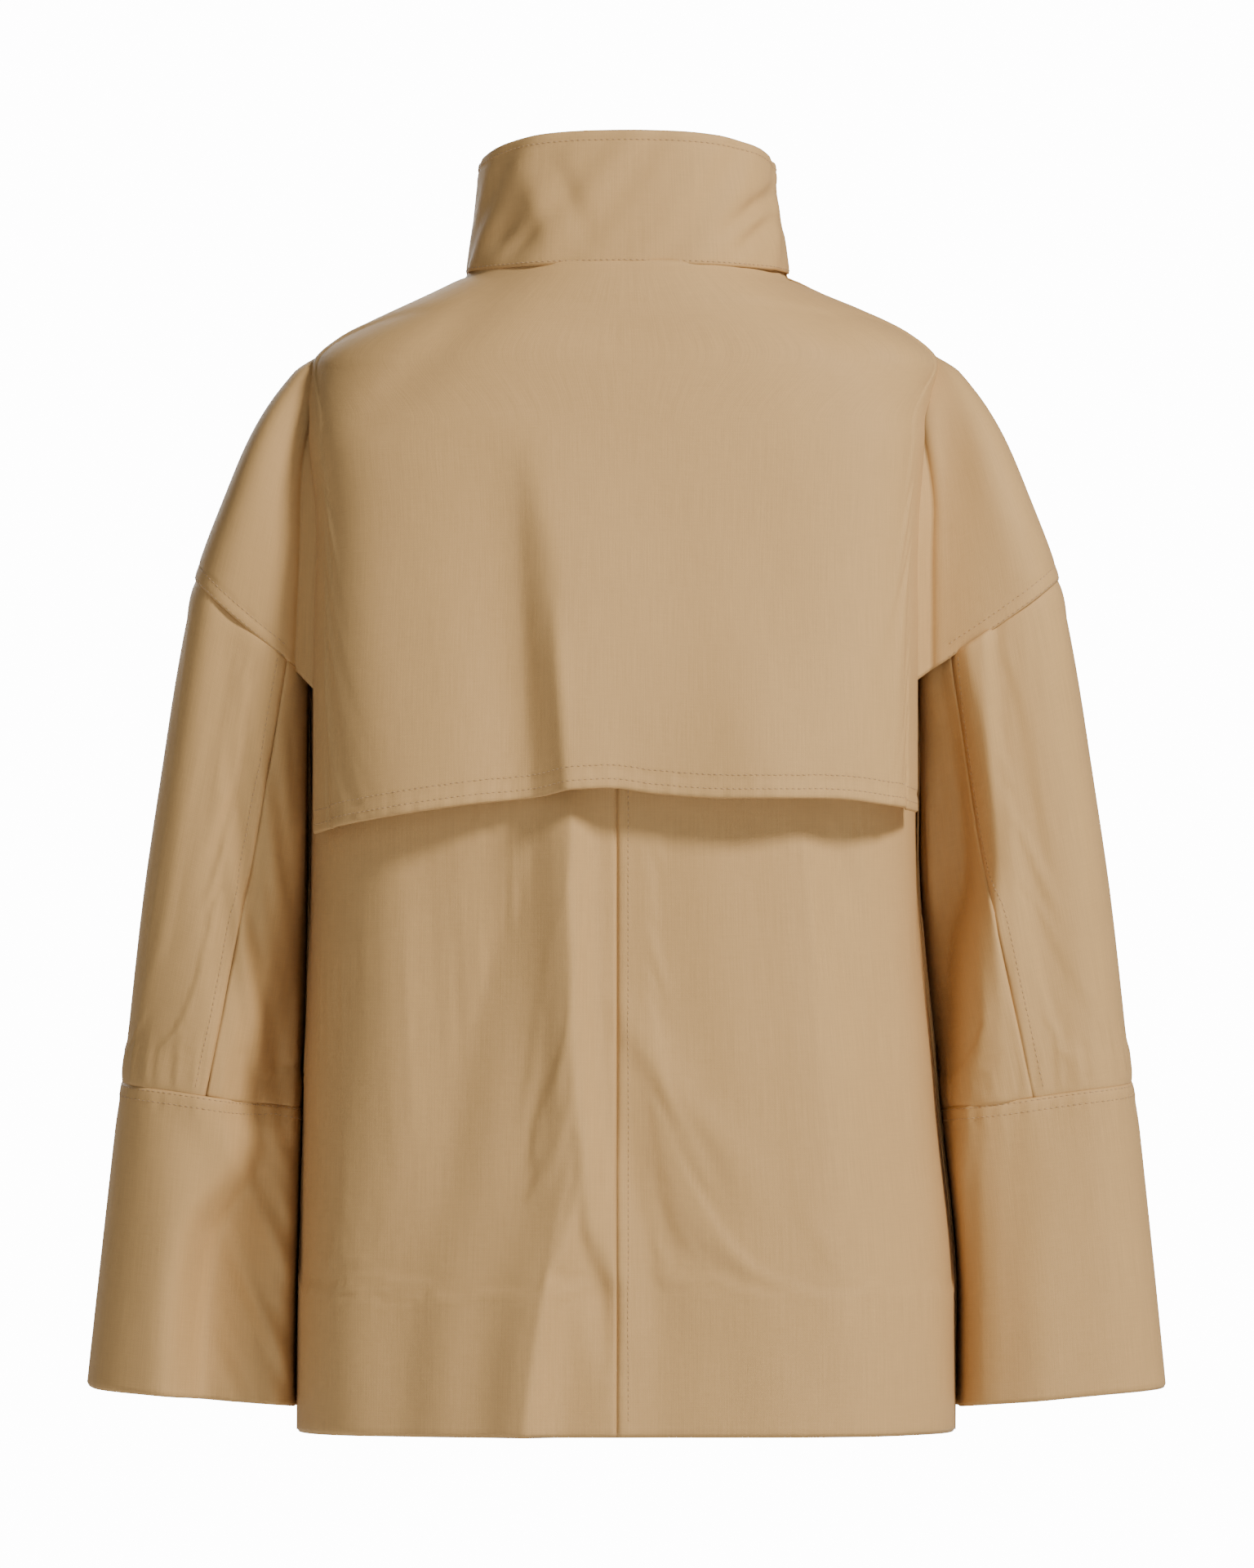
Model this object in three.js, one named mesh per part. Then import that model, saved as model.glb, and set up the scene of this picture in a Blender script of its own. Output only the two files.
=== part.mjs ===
// Short cape-back coat with a stand collar, in millimetres, +Z up.
// The coat's front faces -Y and its back faces +Y; the wearer's left is +X.
// The origin is the centre-back neck point, where the collar meets the back.
// Every sheet is a closed shell laid on the body surface or on the arm surface.

import * as THREE from 'three';

// ---- lengths down the coat, measured from the centre-back neck point ----
const backLength = 687;
const shoulderDrop = 58;
const armholeDrop = 252;
const neckSideDrop = 4;
const frontNeckDrop = 66;
const capeBendDrop = 226;
const flapCentreDrop = 308;
const flapSideDrop = 332;
const seamOuterDrop = 184;
const seamInnerDrop = 241;
const cuffSeamDrop = 489;
const cuffHeight = 169;

// ---- widths and depths of the body, as halves about its side line ----
const neckHalfWidth = 96;
const shoulderHalfWidth = 186;
const chestHalfWidth = 183;
const hemHalfWidth = 193;
const neckDepthBack = 75;
const shoulderDepthBack = 96;
const chestDepthBack = 122;
const hemDepthBack = 139;
const frontNeckDepth = 51;
const frontHemDepth = 130;
const foldInset = 17;
const frontFoldHemX = 112;
const frontFoldNeckDrop = 12;
const sectionPower = 2.6;

// ---- collar ----
const collarHeight = 79;
const collarSideLoss = 13;
const collarLean = 0.91;

// ---- armhole and sleeve ----
const armholeHalfWidth = 46;
const armholeTopDrop = 70;
const creaseGap = 3;
const sleeveGap = 5;
const capTopOuter = 11;
const sleeveOuterAtSeam = 71;
const sleeveOuterAtCuff = 109;
const sleeveOuterAtEnd = 125;
const capHalfDepth = 60;
const cuffHalfDepth = 72;
const sleeveForward = 12;
const sleevePower = 2.2;
const seamTilt = 8.5;

// ---- sheets, trim and clearances ----
const cloth = 2;
const facingCloth = 1.4;
const layerGap = 0.6;
const facingGap = 2.2;
const capeGap = 2.2;
const seamGap = 1;
const flapStandOff = 13;
const capeSideInset = 8;
const frontGap = 6;
const facingWidth = 58;
const neckFacingHeight = 62;
const facingAngle = 47;
const liningDrop = 400;
const hemTurn = 40;
const buttonRadius = 11;
const buttonThickness = 3.6;
const buttonCount = 5;
const topButtonDrop = 100;
const buttonPitch = 118;
const buttonInset = 24;
const pocketDrop = 405;
const pocketLength = 150;
const weltWidth = 28;
const weltThickness = 2.4;
const pocketInset = 12;
const pocketSlant = 0.1;
const bagDepth = 50;
const bagThickness = 4;
const loopWidth = 56;
const loopDrop = 14;
const loopTape = 4;
const loopThickness = 1.4;
const loopBelowSeam = 16;

const rad = THREE.MathUtils.degToRad;
const frontFoldNeckX = neckHalfWidth - foldInset;
const lerp = THREE.MathUtils.lerp;
const sideY = -neckDepthBack;

// A smooth curve through [drop, value] pairs that never overshoots them.
function fairCurve(knots) {
  const slopes = [];
  for (let i = 0; i + 1 < knots.length; i += 1) {
    slopes.push((knots[i + 1][1] - knots[i][1]) / (knots[i + 1][0] - knots[i][0]));
  }
  const tangents = knots.map((knot, i) => {
    const before = slopes[Math.max(i - 1, 0)];
    const after = slopes[Math.min(i, slopes.length - 1)];
    if (before * after <= 0) return 0;
    return (2 * before * after) / (before + after);
  });
  return (drop) => {
    const last = knots.length - 2;
    let i = 0;
    while (i < last && drop > knots[i + 1][0]) i += 1;
    const span = knots[i + 1][0] - knots[i][0];
    const t = THREE.MathUtils.clamp((drop - knots[i][0]) / span, 0, 1);
    const rise = t * t * (3 - 2 * t);
    const bend = tangents[i] * t * (1 - t) * (1 - t) - tangents[i + 1] * t * t * (1 - t);
    return lerp(knots[i][1], knots[i + 1][1], rise) + span * bend;
  };
}

function signedPower(value, power) {
  return Math.sign(value) * Math.abs(value) ** (2 / power);
}

// ---- body surface: angle 0 is centre back, 90 the side, 180 centre front ----
const bodyHalfWidth = fairCurve([
  [neckSideDrop, neckHalfWidth],
  [shoulderDrop, shoulderHalfWidth],
  [armholeDrop, chestHalfWidth],
  [backLength, hemHalfWidth],
]);
const bodyDepthBack = fairCurve([
  [0, neckDepthBack],
  [shoulderDrop, shoulderDepthBack],
  [armholeDrop, chestDepthBack],
  [backLength, hemDepthBack],
]);

// The front folds open along one straight line from the neck to the hem, so the
// front's depth is worked out from that line at every level.
function foldLine(drop) {
  const t = (drop - frontFoldNeckDrop) / (backLength - frontFoldNeckDrop);
  return { x: lerp(frontFoldNeckX, frontFoldHemX, t), depth: lerp(frontNeckDepth, frontHemDepth, t) };
}

function bodyDepthFront(drop) {
  const line = foldLine(drop);
  const share = Math.min(line.x / bodyHalfWidth(drop), 0.86);
  return line.depth / (1 - share ** sectionPower) ** (1 / sectionPower);
}

function bodyPoint(angle, drop) {
  const depth = Math.cos(angle) > 0 ? bodyDepthBack(drop) : bodyDepthFront(drop);
  const x = bodyHalfWidth(drop) * signedPower(Math.sin(angle), sectionPower);
  const y = sideY + depth * signedPower(Math.cos(angle), sectionPower);
  return new THREE.Vector3(x, y, -drop);
}

function angleAtX(x, drop) {
  const share = Math.min(x / bodyHalfWidth(drop), 1);
  return Math.asin(share ** (sectionPower / 2));
}

function angleAtDepth(depth, drop, fullDepth) {
  const share = THREE.MathUtils.clamp(depth / fullDepth, 0, 1);
  return Math.acos(share ** (sectionPower / 2));
}

function neckDrop(angle) {
  const turn = Math.abs(angle);
  if (turn <= Math.PI / 2) return neckSideDrop * Math.sin(turn) ** 2;
  return neckSideDrop + frontNeckDrop * ((turn - Math.PI / 2) / (Math.PI / 2)) ** 2.6;
}

function foldAngle(drop) {
  return Math.PI - angleAtX(foldLine(drop).x, drop);
}

// How far the armhole's edge stands from the side line at a level.
function armholeReach(drop) {
  const middle = (armholeTopDrop + armholeDrop) / 2;
  const half = (armholeDrop - armholeTopDrop) / 2;
  const t = (drop - middle) / half;
  return Math.abs(t) >= 1 ? 0 : armholeHalfWidth * Math.sqrt(1 - t * t);
}

// ---- arm surface: angle 0 is the back, 90 the outside, 180 the front ----
const creaseX = shoulderHalfWidth + creaseGap;
const armTopDrop = shoulderDrop + 3;
const cuffEndDrop = cuffSeamDrop + cuffHeight;
const armOuter = fairCurve([
  [armTopDrop, shoulderHalfWidth + capTopOuter],
  [(armTopDrop + seamOuterDrop) / 2, shoulderHalfWidth + 0.7 * sleeveOuterAtSeam],
  [seamOuterDrop, shoulderHalfWidth + sleeveOuterAtSeam],
  [cuffSeamDrop, hemHalfWidth + sleeveOuterAtCuff],
  [cuffEndDrop, hemHalfWidth + sleeveOuterAtEnd],
]);

function armInner(drop) {
  return Math.max(bodyHalfWidth(drop), chestHalfWidth) + sleeveGap;
}

function armHalfDepth(drop) {
  const rise = THREE.MathUtils.clamp((drop - shoulderDrop + 8) / (seamOuterDrop - shoulderDrop), 0, 1);
  const dome = capHalfDepth * Math.sqrt(1 - (1 - rise) ** 2);
  const t = THREE.MathUtils.clamp((drop - seamOuterDrop) / (cuffEndDrop - seamOuterDrop), 0, 1);
  return dome + (cuffHalfDepth - capHalfDepth) * t;
}

function armPoint(angle, drop) {
  const centre = (armOuter(drop) + armInner(drop)) / 2;
  const half = (armOuter(drop) - armInner(drop)) / 2;
  const along = (drop - seamOuterDrop) / (cuffEndDrop - seamOuterDrop);
  const forward = sleeveForward * THREE.MathUtils.clamp(along, 0, 1);
  const x = centre + half * signedPower(Math.sin(angle), sleevePower);
  const y = sideY - forward + armHalfDepth(drop) * signedPower(Math.cos(angle), sleevePower);
  return new THREE.Vector3(x, y, -drop);
}

function dropSeam(angle) {
  const middle = (seamOuterDrop + seamInnerDrop) / 2;
  return middle - ((seamInnerDrop - seamOuterDrop) / 2) * signedPower(Math.sin(angle), sleevePower);
}

function cuffSeam(angle) {
  return cuffSeamDrop - seamTilt * Math.sin(angle);
}

function backSeamAngle(drop) {
  const t = (drop - seamOuterDrop) / (cuffSeamDrop - seamOuterDrop);
  return rad(lerp(-48, -2, t));
}

function frontSeamAngle(drop) {
  return Math.PI - backSeamAngle(drop) + rad(20);
}

// ---- collar surface: base ring on the neck seam, top ring leaning inwards ----
function collarPoint(angle, t) {
  const base = bodyPoint(angle, neckDrop(angle));
  const lean = lerp(1, collarLean, t);
  const height = collarHeight - collarSideLoss * Math.sin(angle) ** 2;
  const y = sideY + (base.y - sideY) * lean;
  return new THREE.Vector3(base.x * lean, y, base.z + seamGap + height * t);
}

// ---- sheet maker ----
// surface(u, v) gives a point; the sheet lies between the offsets low and high
// along the outward normal, and u runs clockwise about the piece seen from above.
const colours = {
  shell: 0xbca07c,
  facing: 0xb0946f,
  lining: 0x9d8566,
  trim: 0x5b4632,
};

function finish(colour, roughness) {
  return new THREE.MeshStandardMaterial({ color: colours[colour], roughness, metalness: 0 });
}

function sheet(name, colour, columns, rows, surface, low, high) {
  const geometry = new THREE.BoxGeometry(1, 1, 1, columns, rows, 1);
  const places = geometry.attributes.position;
  const step = 1e-3;
  for (let i = 0; i < places.count; i += 1) {
    const u = 0.5 - places.getX(i);
    const v = 0.5 + places.getY(i);
    const across = surface(Math.min(u + step, 1), v).sub(surface(Math.max(u - step, 0), v));
    const up = surface(u, Math.min(v + step, 1)).sub(surface(u, Math.max(v - step, 0)));
    const normal = up.cross(across).normalize();
    const offset = places.getZ(i) > 0 ? high : low;
    const height = typeof offset === 'function' ? offset(u, v) : offset;
    const point = surface(u, v).addScaledVector(normal, height);
    places.setXYZ(i, point.x, point.y, point.z);
  }
  const mesh = new THREE.Mesh(geometry, finish(colour, 0.7));
  mesh.name = name;
  return mesh;
}

// Rows of a body sheet stand closer together towards its top, where the shoulder turns.
function rowDrop(bottom, top, v) {
  return lerp(top, bottom, (1 - v) ** 1.7);
}

// ---- back of the coat ----
function backEdgeAngle(drop) {
  const reach = armholeReach(drop);
  const fullDepth = bodyDepthBack(drop);
  return angleAtDepth(Math.max(reach, seamGap / 2), drop, fullDepth);
}

// The upper half of a back panel's rows stand where the cape's rows do, so that
// the two follow the shoulder alike.
function backRowDrop(v) {
  if (v >= 0.5) return rowDrop(capeBendDrop, neckSideDrop + seamGap, 2 * v - 1);
  return lerp(backLength, capeBendDrop, 2 * v);
}

// Angle whose arc length from centre back clears the centre-back seam.
function centreAngle(drop, clearance) {
  return angleAtX(clearance, drop);
}

function backPanel(name) {
  const surface = (u, v) => {
    const drop = backRowDrop(v);
    return bodyPoint(lerp(centreAngle(drop, seamGap / 2), backEdgeAngle(drop), u), drop);
  };
  return sheet(name, 'shell', 10, 16, surface, -cloth, 0);
}

function capeEdgeAngle(drop) {
  const shoulder = drop < armholeTopDrop ? Math.PI / 2 - rad(2) : Math.PI / 2;
  const inset = angleAtX(shoulderHalfWidth - capeSideInset, Math.max(drop, shoulderDrop));
  return Math.min(shoulder, inset, backEdgeAngle(drop));
}

function capeLift(drop) {
  const t = THREE.MathUtils.clamp((drop - shoulderDrop) / (flapCentreDrop - shoulderDrop), 0, 1);
  return capeGap + flapStandOff * t * t;
}

function flapEdgeDrop(share) {
  return lerp(flapCentreDrop, flapSideDrop, Math.abs(share) ** 2);
}

function capeSheet(name, topOf, bottomOf, rows) {
  const surface = (u, v) => {
    const share = 2 * u - 1;
    const drop = rowDrop(bottomOf(share), topOf(share), v);
    return bodyPoint(share * capeEdgeAngle(drop), drop);
  };
  const level = (u, v) => rowDrop(bottomOf(2 * u - 1), topOf(2 * u - 1), v);
  const low = (u, v) => capeLift(level(u, v));
  const high = (u, v) => capeLift(level(u, v)) + cloth;
  return sheet(name, 'shell', 20, rows, surface, low, high);
}

const cape = () => capeSheet('cape_back', () => neckSideDrop + seamGap, () => capeBendDrop, 8);
const flap = () => capeSheet('storm_flap', () => capeBendDrop + seamGap, flapEdgeDrop, 2);

function neckFacing() {
  const surface = (u, v) => {
    const share = 2 * u - 1;
    const drop = lerp(neckSideDrop + neckFacingHeight, neckSideDrop + seamGap, v);
    return bodyPoint(share * rad(facingAngle), drop);
  };
  const inner = -cloth - facingGap - facingCloth;
  return sheet('back_neck_facing', 'facing', 14, 4, surface, inner, -cloth - facingGap);
}

function backLining() {
  const surface = (u, v) => {
    const share = 2 * u - 1;
    const drop = lerp(liningDrop, neckSideDrop + neckFacingHeight + seamGap, v);
    return bodyPoint(share * Math.min(rad(facingAngle), backEdgeAngle(drop)), drop);
  };
  const inner = -cloth - facingGap - facingCloth;
  return sheet('back_lining', 'lining', 14, 6, surface, inner, -cloth - facingGap);
}

function backHemTurn(name) {
  const surface = (u, v) => {
    const drop = lerp(backLength, backLength - hemTurn, v);
    return bodyPoint(lerp(centreAngle(drop, seamGap), backEdgeAngle(drop) - rad(1), u), drop);
  };
  const inner = -cloth - facingGap - facingCloth;
  return sheet(name, 'facing', 8, 1, surface, inner, -cloth - facingGap);
}

// ---- collar ----
function collarSheet(name, colour, fromAngle, toAngle, columns, low, high) {
  const surface = (u, v) => collarPoint(lerp(fromAngle, toAngle, u), v);
  return sheet(name, colour, columns, 3, surface, low, high);
}

// The fold line meets the neck seam where its drop and the seam's drop agree.
let foldTopDrop = frontFoldNeckDrop;
for (let pass = 0; pass < 40; pass += 1) foldTopDrop = neckDrop(foldAngle(foldTopDrop));
const collarFold = foldAngle(foldTopDrop);
const collarSlit = rad(1);
const collarInner = -cloth - facingGap - facingCloth;

function collarBack() {
  return collarSheet('collar_back', 'shell', -collarFold, collarFold, 20, -cloth, 0);
}

function collarBackFacing() {
  const outer = -cloth - facingGap;
  return collarSheet('collar_back_facing', 'facing', -collarFold, collarFold, 20, collarInner, outer);
}

function collarEndAngle(drop) {
  return Math.PI - angleAtX(frontGap / 2, drop);
}

function collarEnd(name, colour, low, high) {
  const end = collarEndAngle(neckDrop(Math.PI)) - rad(0.4);
  return collarSheet(name, colour, collarFold + collarSlit, end, 6, low, high);
}

// ---- fronts ----
function frontEdgeAngle(drop) {
  const reach = armholeReach(drop);
  return Math.PI - angleAtDepth(Math.max(reach, seamGap / 2), drop, bodyDepthFront(drop));
}

function frontSheet(name, colour, columns, rows, fromAngle, toAngle, topDrop, bottomDrop, low, high) {
  const surface = (u, v) => {
    let top = topDrop;
    for (let pass = 0; pass < 12; pass += 1) {
      top = neckDrop(lerp(fromAngle(top), toAngle(top), u)) + 2 * seamGap;
    }
    const drop = rowDrop(bottomDrop, top, v);
    return bodyPoint(lerp(fromAngle(drop), toAngle(drop), u), drop);
  };
  return sheet(name, colour, columns, rows, surface, low, high);
}

function foldSide(drop) {
  return Math.max(foldAngle(drop) - rad(0.7), frontEdgeAngle(drop) + rad(4));
}

function frontSidePanel(name) {
  return frontSheet(name, 'shell', 7, 16, frontEdgeAngle, foldSide, neckSideDrop, backLength, -cloth, 0);
}

function frontPanel(name) {
  const from = (drop) => foldAngle(drop) + rad(0.7);
  return frontSheet(name, 'shell', 6, 14, from, collarEndAngle, neckSideDrop, backLength, -cloth, 0);
}

function frontFacing(name) {
  const from = (drop) => Math.PI - angleAtX(facingWidth, drop);
  const high = -cloth - facingGap;
  const low = high - facingCloth;
  return frontSheet(name, 'facing', 3, 12, from, collarEndAngle, neckSideDrop, backLength, low, high);
}

// ---- buttons down the left front, sewn flat on the cloth ----
function outward(angle, drop) {
  const step = 1e-3;
  const around = bodyPoint(angle + step, drop).sub(bodyPoint(angle - step, drop));
  const up = bodyPoint(angle, drop - 1).sub(bodyPoint(angle, drop + 1));
  return up.cross(around).normalize();
}

function button(index) {
  const profile = [
    new THREE.Vector2(0, 0),
    new THREE.Vector2(buttonRadius - 0.8, 0),
    new THREE.Vector2(buttonRadius, 0.8),
    new THREE.Vector2(buttonRadius, buttonThickness - 0.8),
    new THREE.Vector2(buttonRadius - 1.4, buttonThickness),
    new THREE.Vector2(buttonRadius - 3, buttonThickness - 1),
    new THREE.Vector2(0, buttonThickness - 1),
  ];
  const drop = topButtonDrop + buttonPitch * index;
  const angle = Math.PI - angleAtX(frontGap / 2 + buttonInset, drop);
  const normal = outward(angle, drop);
  const mesh = new THREE.Mesh(new THREE.LatheGeometry(profile, 14), finish('trim', 0.35));
  mesh.name = `button_${index + 1}`;
  mesh.quaternion.setFromUnitVectors(new THREE.Vector3(0, 1, 0), normal);
  mesh.position.copy(bodyPoint(angle, drop)).addScaledVector(normal, layerGap);
  return mesh;
}

// ---- slanted side pockets ----
function pocketPoint(across, down) {
  const drop = pocketDrop + down;
  const x = foldLine(drop).x + pocketInset + across + pocketSlant * down;
  return bodyPoint(Math.PI - angleAtX(x, drop), drop);
}

function pocketSheet(name, colour, width, length, startAcross, startDown, low, high) {
  const surface = (u, v) => pocketPoint(startAcross + width * (1 - u), startDown + length * (1 - v));
  return sheet(name, colour, 2, 5, surface, low, high);
}

const pocketWelt = (name) =>
  pocketSheet(name, 'shell', weltWidth, pocketLength, 0, 0, layerGap, layerGap + weltThickness);
const pocketBag = (name) =>
  pocketSheet(name, 'lining', weltWidth, pocketLength + bagDepth, 4, 10,
    -cloth - facingGap - bagThickness, -cloth - facingGap);

// ---- sleeves ----
function shoulderCap(name) {
  const top = armTopDrop;
  const cut = (drop) => {
    const centre = (armOuter(drop) + armInner(drop)) / 2;
    const half = (armOuter(drop) - armInner(drop)) / 2;
    const share = THREE.MathUtils.clamp((creaseX + 1 - centre) / half, -0.9, 0.6);
    return Math.asin(Math.sign(share) * Math.abs(share) ** (sleevePower / 2));
  };
  const surface = (u, v) => {
    const angleAt = (drop) => lerp(cut(drop), Math.PI - cut(drop), u);
    let seam = seamInnerDrop;
    for (let pass = 0; pass < 6; pass += 1) seam = dropSeam(angleAt(seam)) - seamGap;
    const drop = lerp(seam, top, v);
    return armPoint(angleAt(drop), drop);
  };
  return sheet(name, 'shell', 14, 6, surface, -cloth, 0);
}

function sleeveSheet(name, colour, columns, rows, fromAngle, toAngle, topOf, bottomOf, low, high) {
  const surface = (u, v) => {
    const angleAt = (drop) => lerp(fromAngle(drop), toAngle(drop), u);
    let top = seamInnerDrop;
    for (let pass = 0; pass < 6; pass += 1) top = topOf(angleAt(top));
    const drop = lerp(bottomOf(angleAt(cuffSeamDrop)), top, v);
    return armPoint(angleAt(drop), drop);
  };
  return sheet(name, colour, columns, rows, surface, low, high);
}

const slit = rad(1.2);
const seamBelow = (angle) => dropSeam(angle) + seamGap;
const cuffAbove = (angle) => cuffSeam(angle) - seamGap;
const cuffEnd = (angle) => cuffSeam(angle) + cuffHeight;

function sleeveOuter(name) {
  const from = (drop) => backSeamAngle(drop) + slit;
  const to = (drop) => frontSeamAngle(drop) - slit;
  return sleeveSheet(name, 'shell', 11, 5, from, to, seamBelow, cuffAbove, -cloth, 0);
}

function sleeveInner(name) {
  const from = (drop) => frontSeamAngle(drop) + slit;
  const to = (drop) => backSeamAngle(drop) + 2 * Math.PI - slit;
  return sleeveSheet(name, 'shell', 7, 5, from, to, seamBelow, cuffAbove, -cloth, 0);
}

function cuffSheet(name, colour, rows, low, high) {
  const start = Math.PI * 1.5 + slit;
  const surface = (u, v) => {
    const angle = start + (2 * Math.PI - 2 * slit) * u;
    return armPoint(angle, lerp(cuffEnd(angle), cuffSeam(angle) + seamGap, v));
  };
  return sheet(name, colour, 22, rows, surface, low, high);
}

// ---- hanger loop: a flat tape bent into a U below the neck facing's seam ----
function hangerLoop() {
  const half = loopWidth / 2;
  const outline = new THREE.Shape();
  outline.moveTo(-half, 0);
  outline.lineTo(-half, -loopDrop);
  outline.absarc(-half + loopTape, -loopDrop, loopTape, Math.PI, 1.5 * Math.PI, false);
  outline.lineTo(half - loopTape, -loopDrop - loopTape);
  outline.absarc(half - loopTape, -loopDrop, loopTape, 1.5 * Math.PI, 2 * Math.PI, false);
  outline.lineTo(half, 0);
  outline.lineTo(half - loopTape, 0);
  outline.lineTo(half - loopTape, -loopDrop);
  outline.lineTo(-half + loopTape, -loopDrop);
  outline.lineTo(-half + loopTape, 0);
  outline.closePath();
  const geometry = new THREE.ExtrudeGeometry(outline, {
    depth: loopThickness, bevelEnabled: false, curveSegments: 4,
  });
  const mesh = new THREE.Mesh(geometry, finish('facing', 0.8));
  mesh.name = 'hanger_loop';
  mesh.rotation.set(Math.PI / 2, 0, 0);
  const wall = bodyPoint(angleAtX(half, loopBelowSeam), loopBelowSeam).y;
  const clear = cloth + facingCloth + 2 * layerGap + 3;
  mesh.position.set(0, wall - clear, -loopBelowSeam);
  return mesh;
}

// ---- the whole coat ----
const coat = new THREE.Group();
coat.add(cape(), flap(), neckFacing(), backLining(), collarBack(), collarBackFacing(), hangerLoop());

for (const side of ['left', 'right']) {
  const half = new THREE.Group();
  half.scale.x = side === 'left' ? 1 : -1;
  half.add(
    backPanel(`${side}_back`),
    backHemTurn(`${side}_back_hem_turn`),
    frontSidePanel(`${side}_front_side`),
    frontPanel(`${side}_front`),
    frontFacing(`${side}_front_facing`),
    collarEnd(`${side}_collar_end`, 'shell', -cloth, 0),
    collarEnd(`${side}_collar_end_facing`, 'facing', collarInner, -cloth - facingGap),
    pocketWelt(`${side}_pocket_welt`),
    pocketBag(`${side}_pocket_bag`),
    shoulderCap(`${side}_shoulder_cap`),
    sleeveOuter(`${side}_sleeve_outer`),
    sleeveInner(`${side}_sleeve_inner`),
    cuffSheet(`${side}_cuff`, 'shell', 2, -cloth, 0),
    cuffSheet(`${side}_cuff_facing`, 'facing', 1, -cloth - facingGap - facingCloth, -cloth - facingGap),
  );
  coat.add(half);
}

for (let index = 0; index < buttonCount; index += 1) coat.add(button(index));

export default coat;
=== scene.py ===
"""Looks of a short camel rain coat: stand collar, cape back, drop shoulders and deep cuffs.

Every length is in metres. The coat's back faces +Y, the wearer's left is +X, and the origin is the centre
back of the neck. A "drop" is how far a point lies below that neck point. An "angle" goes round the body from the
centre back (0) over the wearer's left side (90) to the centre front (180), and the right side is negative.
"""

import math

import bmesh
import bpy
import numpy as np
from mathutils import Matrix, Vector


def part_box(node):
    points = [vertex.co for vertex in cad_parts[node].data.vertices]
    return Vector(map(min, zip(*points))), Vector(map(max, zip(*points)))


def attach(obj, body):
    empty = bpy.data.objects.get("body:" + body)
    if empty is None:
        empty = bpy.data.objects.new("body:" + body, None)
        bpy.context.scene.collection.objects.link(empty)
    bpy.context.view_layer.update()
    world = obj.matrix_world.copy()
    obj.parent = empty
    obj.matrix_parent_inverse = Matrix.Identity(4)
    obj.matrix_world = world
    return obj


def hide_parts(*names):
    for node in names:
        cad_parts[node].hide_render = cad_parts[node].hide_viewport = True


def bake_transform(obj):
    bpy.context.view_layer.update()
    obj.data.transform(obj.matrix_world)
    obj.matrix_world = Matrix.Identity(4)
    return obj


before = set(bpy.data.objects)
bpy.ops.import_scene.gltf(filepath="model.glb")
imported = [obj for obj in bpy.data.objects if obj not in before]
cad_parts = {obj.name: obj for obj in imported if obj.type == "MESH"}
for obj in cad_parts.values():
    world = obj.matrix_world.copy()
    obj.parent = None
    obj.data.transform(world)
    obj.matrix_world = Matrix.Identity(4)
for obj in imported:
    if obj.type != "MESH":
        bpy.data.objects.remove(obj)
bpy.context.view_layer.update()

# ---- sizes of the coat ----
HEM_DROP = -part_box("left_back")[0][2]
COLLAR_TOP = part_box("collar_back")[1][2]
CUFF_END = -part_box("left_cuff")[0][2] - 0.007
SIDE_Y = -0.075
COLLAR_SIDE_LOSS = 0.013
NECK_SIDE_DROP = 0.004
FRONT_NECK_DROP = 0.066
SEAM_OUTER, SEAM_INNER = 0.184, 0.241
CUFF_SEAM = 0.489
FOLD_NECK = (0.079, 0.051, 0.012)
FOLD_HEM = (0.112, 0.130, 0.687)
FRONT_POWER = 2.6
FRONT_GAP = 0.003
SLEEVE_GAP = 0.0015
CLOTH = 0.0013
EDGE_TURN = 0.0026
RAD = math.pi / 180


# ---- curves ----
def fair(*knots):
    """A smooth curve through (place, value) knots that never overshoots them."""
    xs, ys = (np.array(column, float) for column in zip(*knots))
    slopes = np.diff(ys) / np.diff(xs)
    tangents = np.zeros_like(ys)
    tangents[0], tangents[-1] = slopes[0], slopes[-1]
    for i in range(1, len(ys) - 1):
        before, after = slopes[i - 1], slopes[i]
        tangents[i] = 0 if before * after <= 0 else 2 * before * after / (before + after)

    def curve(place):
        place = np.clip(place, xs[0], xs[-1])
        i = np.clip(np.searchsorted(xs, place) - 1, 0, len(xs) - 2)
        span = xs[i + 1] - xs[i]
        t = (place - xs[i]) / span
        bend = tangents[i] * t * (1 - t) ** 2 - tangents[i + 1] * t * t * (1 - t)
        return ys[i] + (ys[i + 1] - ys[i]) * t * t * (3 - 2 * t) + span * bend

    return curve


def ease(low, high, place):
    t = np.clip((place - low) / (high - low), 0, 1)
    return t * t * (3 - 2 * t)


def spow(value, power):
    return np.sign(value) * np.abs(value) ** (2 / power)


def ripple(place, pitch, seed):
    """An uneven ripple between about -1 and 1, the same every time."""
    turn = 2 * math.pi * place / pitch
    return (
        0.5 * np.sin(turn + seed)
        + 0.3 * np.sin(1.73 * turn + 2.1 * seed + 1.0)
        + 0.2 * np.sin(0.61 * turn + 3.7 * seed + 2.0)
    )


def bump(away, width):
    """1 in the middle, fading out smoothly on both sides over about twice the width."""
    return np.exp(-((away / width) ** 2))


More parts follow.
